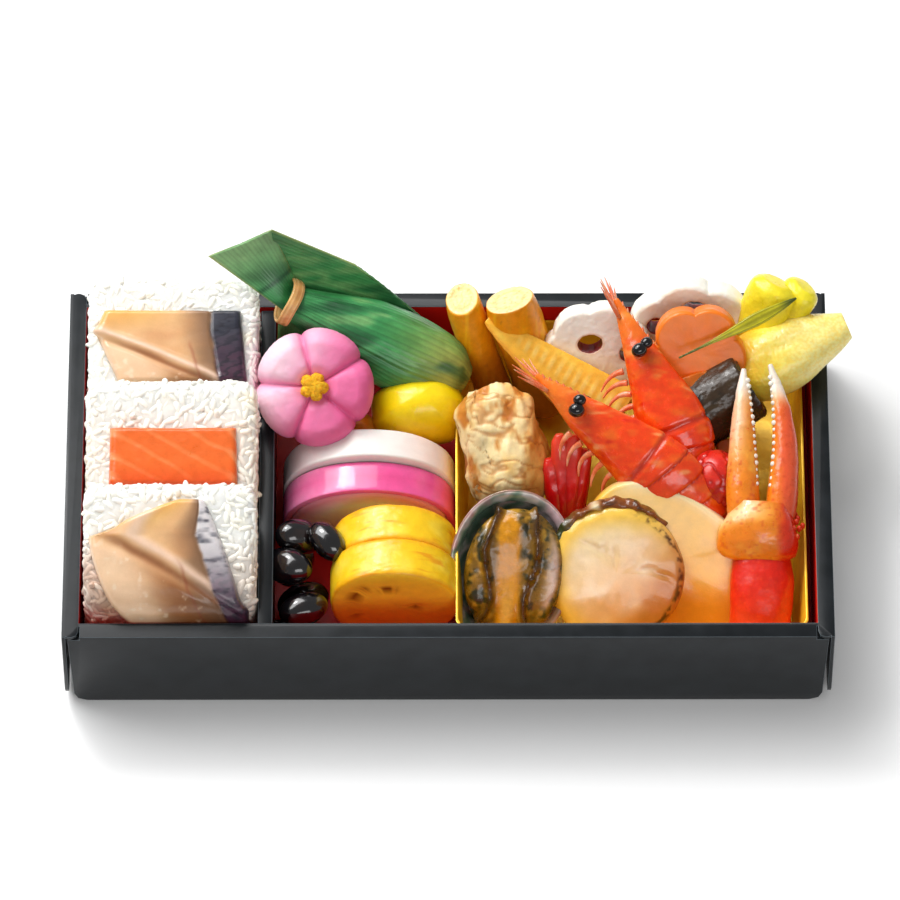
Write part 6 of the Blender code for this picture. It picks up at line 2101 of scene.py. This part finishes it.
def build_stage(group):
    """Floor, white surroundings, three soft lights and the camera."""
    scene = bpy.context.scene
    scene.view_settings.view_transform = "Standard"
    bm = bmesh.new()
    bmesh.ops.create_grid(bm, x_segments=24, y_segments=24, size=FLOOR_HALF)
    mesh = bpy.data.meshes.new("floor")
    bm.to_mesh(mesh)
    bm.free()
    mesh.materials.append(plain_finish("floor paper", tone255(group.floor), 0.7, mottle=60.0, drift=0.01))
    floor = bpy.data.objects.new("floor", mesh)
    floor.location.z = -FLOOR_DROP
    scene.collection.objects.link(floor)
    world = bpy.data.worlds.new("studio")
    world.use_nodes = True
    world.node_tree.nodes["Background"].inputs["Color"].default_value = (1.0, 1.0, 1.0, 1.0)
    world.node_tree.nodes["Background"].inputs["Strength"].default_value = group.sky
    scene.world = world
    area_light("key", (-0.55, 0.55, 1.0), LIT_POINT, (1.3, 0.9), group.key * (1 - WINDOW_SHARE))
    area_light("window", (-0.42, 0.62, 0.95), LIT_POINT, (0.26, 0.2), group.key * WINDOW_SHARE)
    area_light("front", (0.35, -1.1, 0.9), LIT_POINT, (0.9, 0.5), group.fill)
    camera = bpy.data.cameras.new("eye")
    camera.lens, camera.sensor_width = group.lens, 36.0
    camera.shift_x, camera.shift_y = EYE_SHIFT
    camera.clip_end = 100.0
    obj = bpy.data.objects.new("eye", camera)
    yaw, rise = math.radians(EYE_YAW), group.elevation
    back = Vector((math.sin(yaw) * math.cos(rise), -math.cos(yaw) * math.cos(rise), math.sin(rise)))
    obj.location = Vector(LIT_POINT) + back * EYE_DISTANCE
    obj.rotation_euler = (math.pi / 2 - rise, 0.0, yaw)
    scene.collection.objects.link(obj)
    scene.camera = obj


CARD_SHADE = 0.62


def build_box(group):
    """The card parts take the outside colour a shade darker, as the coating is lit from all round."""
    outside = tone255(group.outside) * CARD_SHADE
    # Every softened edge and fold of the tray and divider takes a lighter colour: a painted edge highlight,
    # over the lighter colour of the card where its edge is cut.
    edge = plain_finish("worn card edge", tone255(group.cut_edge), 0.4)
    board = board_finish("lined card", outside, tone255(group.lining))
    plain = board_finish("plain card", outside)
    board_piece("tray", (board, edge), group.fold / MM)
    board_piece("divider", (plain, edge), group.fold / MM)
    foil = plain_finish("gold foil", tone255(group.foil), 0.34, metal=0.25, mottle=6.0, crinkle=0.25)
    # The liner's softened edges take a brighter copy of the foil as a painted highlight.
    bright = plain_finish("gold foil edge", tone255(group.foil) * 1.1, 0.3, metal=0.4)
    board_piece("gold_liner", (foil, bright), 0.15)


# ---------------------------------------------------------------- operators


class BENTO_OT_stage(bpy.types.Operator):
    """Lays the floor, sets the lights and points the camera"""

    bl_idname = "bento.stage"
    bl_label = "Stage"

    def execute(self, context):
        build_stage(context.scene.bento_stage)
        return {"FINISHED"}


class BENTO_OT_box(bpy.types.Operator):
    """Dresses the tray, the divider and the gold liner"""

    bl_idname = "bento.box"
    bl_label = "Tray, divider and liner"

    def execute(self, context):
        build_box(context.scene.bento_box)
        return {"FINISHED"}


class BENTO_OT_rice(bpy.types.Operator):
    """Covers the three rice blocks with grains"""

    bl_idname = "bento.rice"
    bl_label = "Rice"

    def execute(self, context):
        build_rice(context.scene.bento_rice)
        return {"FINISHED"}


class BENTO_OT_slices(bpy.types.Operator):
    """Lays the mackerel and the salmon on the rice"""

    bl_idname = "bento.fish"
    bl_label = "Cured fish"

    def execute(self, context):
        build_slices(context.scene.bento_rice)
        return {"FINISHED"}


class BENTO_OT_leaf(bpy.types.Operator):
    """Folds the leaf parcel and ties it"""

    bl_idname = "bento.leaf"
    bl_label = "Leaf parcel and tie"

    def execute(self, context):
        build_leaf(context.scene.bento_parcel)
        return {"FINISHED"}


class BENTO_OT_sweet(bpy.types.Operator):
    """Models the blossom sweet and its crumb"""

    bl_idname = "bento.sweet"
    bl_label = "Blossom sweet"

    def execute(self, context):
        build_sweet(context.scene.bento_parcel)
        return {"FINISHED"}


class BENTO_OT_fishcake(bpy.types.Operator):
    """Cuts the white and the pink-skinned fishcake"""

    bl_idname = "bento.fishcake"
    bl_label = "Fishcake"

    def execute(self, context):
        build_fishcake(context.scene.bento_middle)
        return {"FINISHED"}


class BENTO_OT_egg(bpy.types.Operator):
    """Rolls the two egg slices"""

    bl_idname = "bento.egg"
    bl_label = "Rolled egg"

    def execute(self, context):
        build_eggs(context.scene.bento_middle)
        return {"FINISHED"}


class BENTO_OT_beans(bpy.types.Operator):
    """Sets out the black beans"""

    bl_idname = "bento.beans"
    bl_label = "Black beans"

    def execute(self, context):
        build_beans(context.scene.bento_middle)
        return {"FINISHED"}


class BENTO_OT_chestnut(bpy.types.Operator):
    """Models the chestnut and the root beside it"""

    bl_idname = "bento.chestnut"
    bl_label = "Chestnut and root"

    def execute(self, context):
        build_chestnut(context.scene.bento_middle)
        return {"FINISHED"}


class BENTO_OT_burdock(bpy.types.Operator):
    """Cuts the burdock sticks and the bamboo shoot"""

    bl_idname = "bento.burdock"
    bl_label = "Burdock and bamboo shoot"

    def execute(self, context):
        build_burdock(context.scene.bento_root)
        return {"FINISHED"}


class BENTO_OT_curd(bpy.types.Operator):
    """Models the fried curd roll and the red pickle"""

    bl_idname = "bento.curd"
    bl_label = "Fried curd and pickle"

    def execute(self, context):
        build_curd(context.scene.bento_root)
        return {"FINISHED"}


class BENTO_OT_flowers(bpy.types.Operator):
    """Cuts the carrot and the lotus root"""

    bl_idname = "bento.flowers"
    bl_label = "Carrot and lotus root"

    def execute(self, context):
        build_flower_slices(context.scene.bento_root)
        return {"FINISHED"}


class BENTO_OT_shrimps(bpy.types.Operator):
    """Models the two shrimps with their eyes, legs and feelers"""

    bl_idname = "bento.shrimps"
    bl_label = "Shrimps"

    def execute(self, context):
        build_shrimps(context.scene.bento_right)
        return {"FINISHED"}


class BENTO_OT_roe(bpy.types.Operator):
    """Models the roe and the narrow leaf on it"""

    bl_idname = "bento.roe"
    bl_label = "Roe and blade"

    def execute(self, context):
        build_roe(context.scene.bento_right)
        return {"FINISHED"}


class BENTO_OT_simmered(bpy.types.Operator):
    """Models the kelp roll, the simmered pieces and the plum"""

    bl_idname = "bento.simmered"
    bl_label = "Kelp, simmered pieces and plum"

    def execute(self, context):
        build_simmered(context.scene.bento_right)
        return {"FINISHED"}


class BENTO_OT_crab(bpy.types.Operator):
    """Models the crab's claw, its teeth and its arm"""

    bl_idname = "bento.crab"
    bl_label = "Crab"

    def execute(self, context):
        build_crab(context.scene.bento_right)
        return {"FINISHED"}


class BENTO_OT_abalone(bpy.types.Operator):
    """Models the abalone on its half shell"""

    bl_idname = "bento.abalone"
    bl_label = "Abalone"

    def execute(self, context):
        build_abalone(context.scene.bento_front)
        return {"FINISHED"}


class BENTO_OT_scallop(bpy.types.Operator):
    """Models the scallop, its frill and the cured slice behind it"""

    bl_idname = "bento.scallop"
    bl_label = "Scallop and cured slice"

    def execute(self, context):
        build_scallop(context.scene.bento_front)
        return {"FINISHED"}


SETTINGS = {
    "bento_stage": StageSettings,
    "bento_box": BoxSettings,
    "bento_rice": RiceSettings,
    "bento_parcel": ParcelSettings,
    "bento_middle": MiddleSettings,
    "bento_root": RootSettings,
    "bento_right": RightSettings,
    "bento_front": FrontSettings,
}
OPERATORS = (
    BENTO_OT_stage, BENTO_OT_box, BENTO_OT_slices, BENTO_OT_rice, BENTO_OT_leaf, BENTO_OT_sweet,
    BENTO_OT_fishcake, BENTO_OT_egg, BENTO_OT_beans, BENTO_OT_chestnut, BENTO_OT_burdock, BENTO_OT_curd,
    BENTO_OT_flowers, BENTO_OT_shrimps, BENTO_OT_roe, BENTO_OT_simmered, BENTO_OT_crab, BENTO_OT_abalone,
    BENTO_OT_scallop,
)


class BENTO_PT_panel(bpy.types.Panel):
    """Lists the settings and the operators of the bento"""

    bl_idname = "BENTO_PT_panel"
    bl_label = "Festive Bento"
    bl_space_type = "VIEW_3D"
    bl_region_type = "UI"
    bl_category = "Bento"

    def draw(self, context):
        for operator in OPERATORS:
            self.layout.operator(operator.bl_idname)
        for name in SETTINGS:
            group = getattr(context.scene, name)
            box = self.layout.box()
            box.label(text=group.__class__.__name__)
            for key in group.__annotations__:
                box.prop(group, key)


def register():
    for cls in (*SETTINGS.values(), *OPERATORS, BENTO_PT_panel):
        bpy.utils.register_class(cls)
    for name, cls in SETTINGS.items():
        setattr(bpy.types.Scene, name, PointerProperty(type=cls))


def unregister():
    for name in SETTINGS:
        delattr(bpy.types.Scene, name)
    for cls in (BENTO_PT_panel, *reversed(OPERATORS), *SETTINGS.values()):
        bpy.utils.unregister_class(cls)


def main():
    register()
    for operator in OPERATORS:
        group, name = operator.bl_idname.split(".")
        getattr(getattr(bpy.ops, group), name)()


if __name__ == "__main__":
    main()
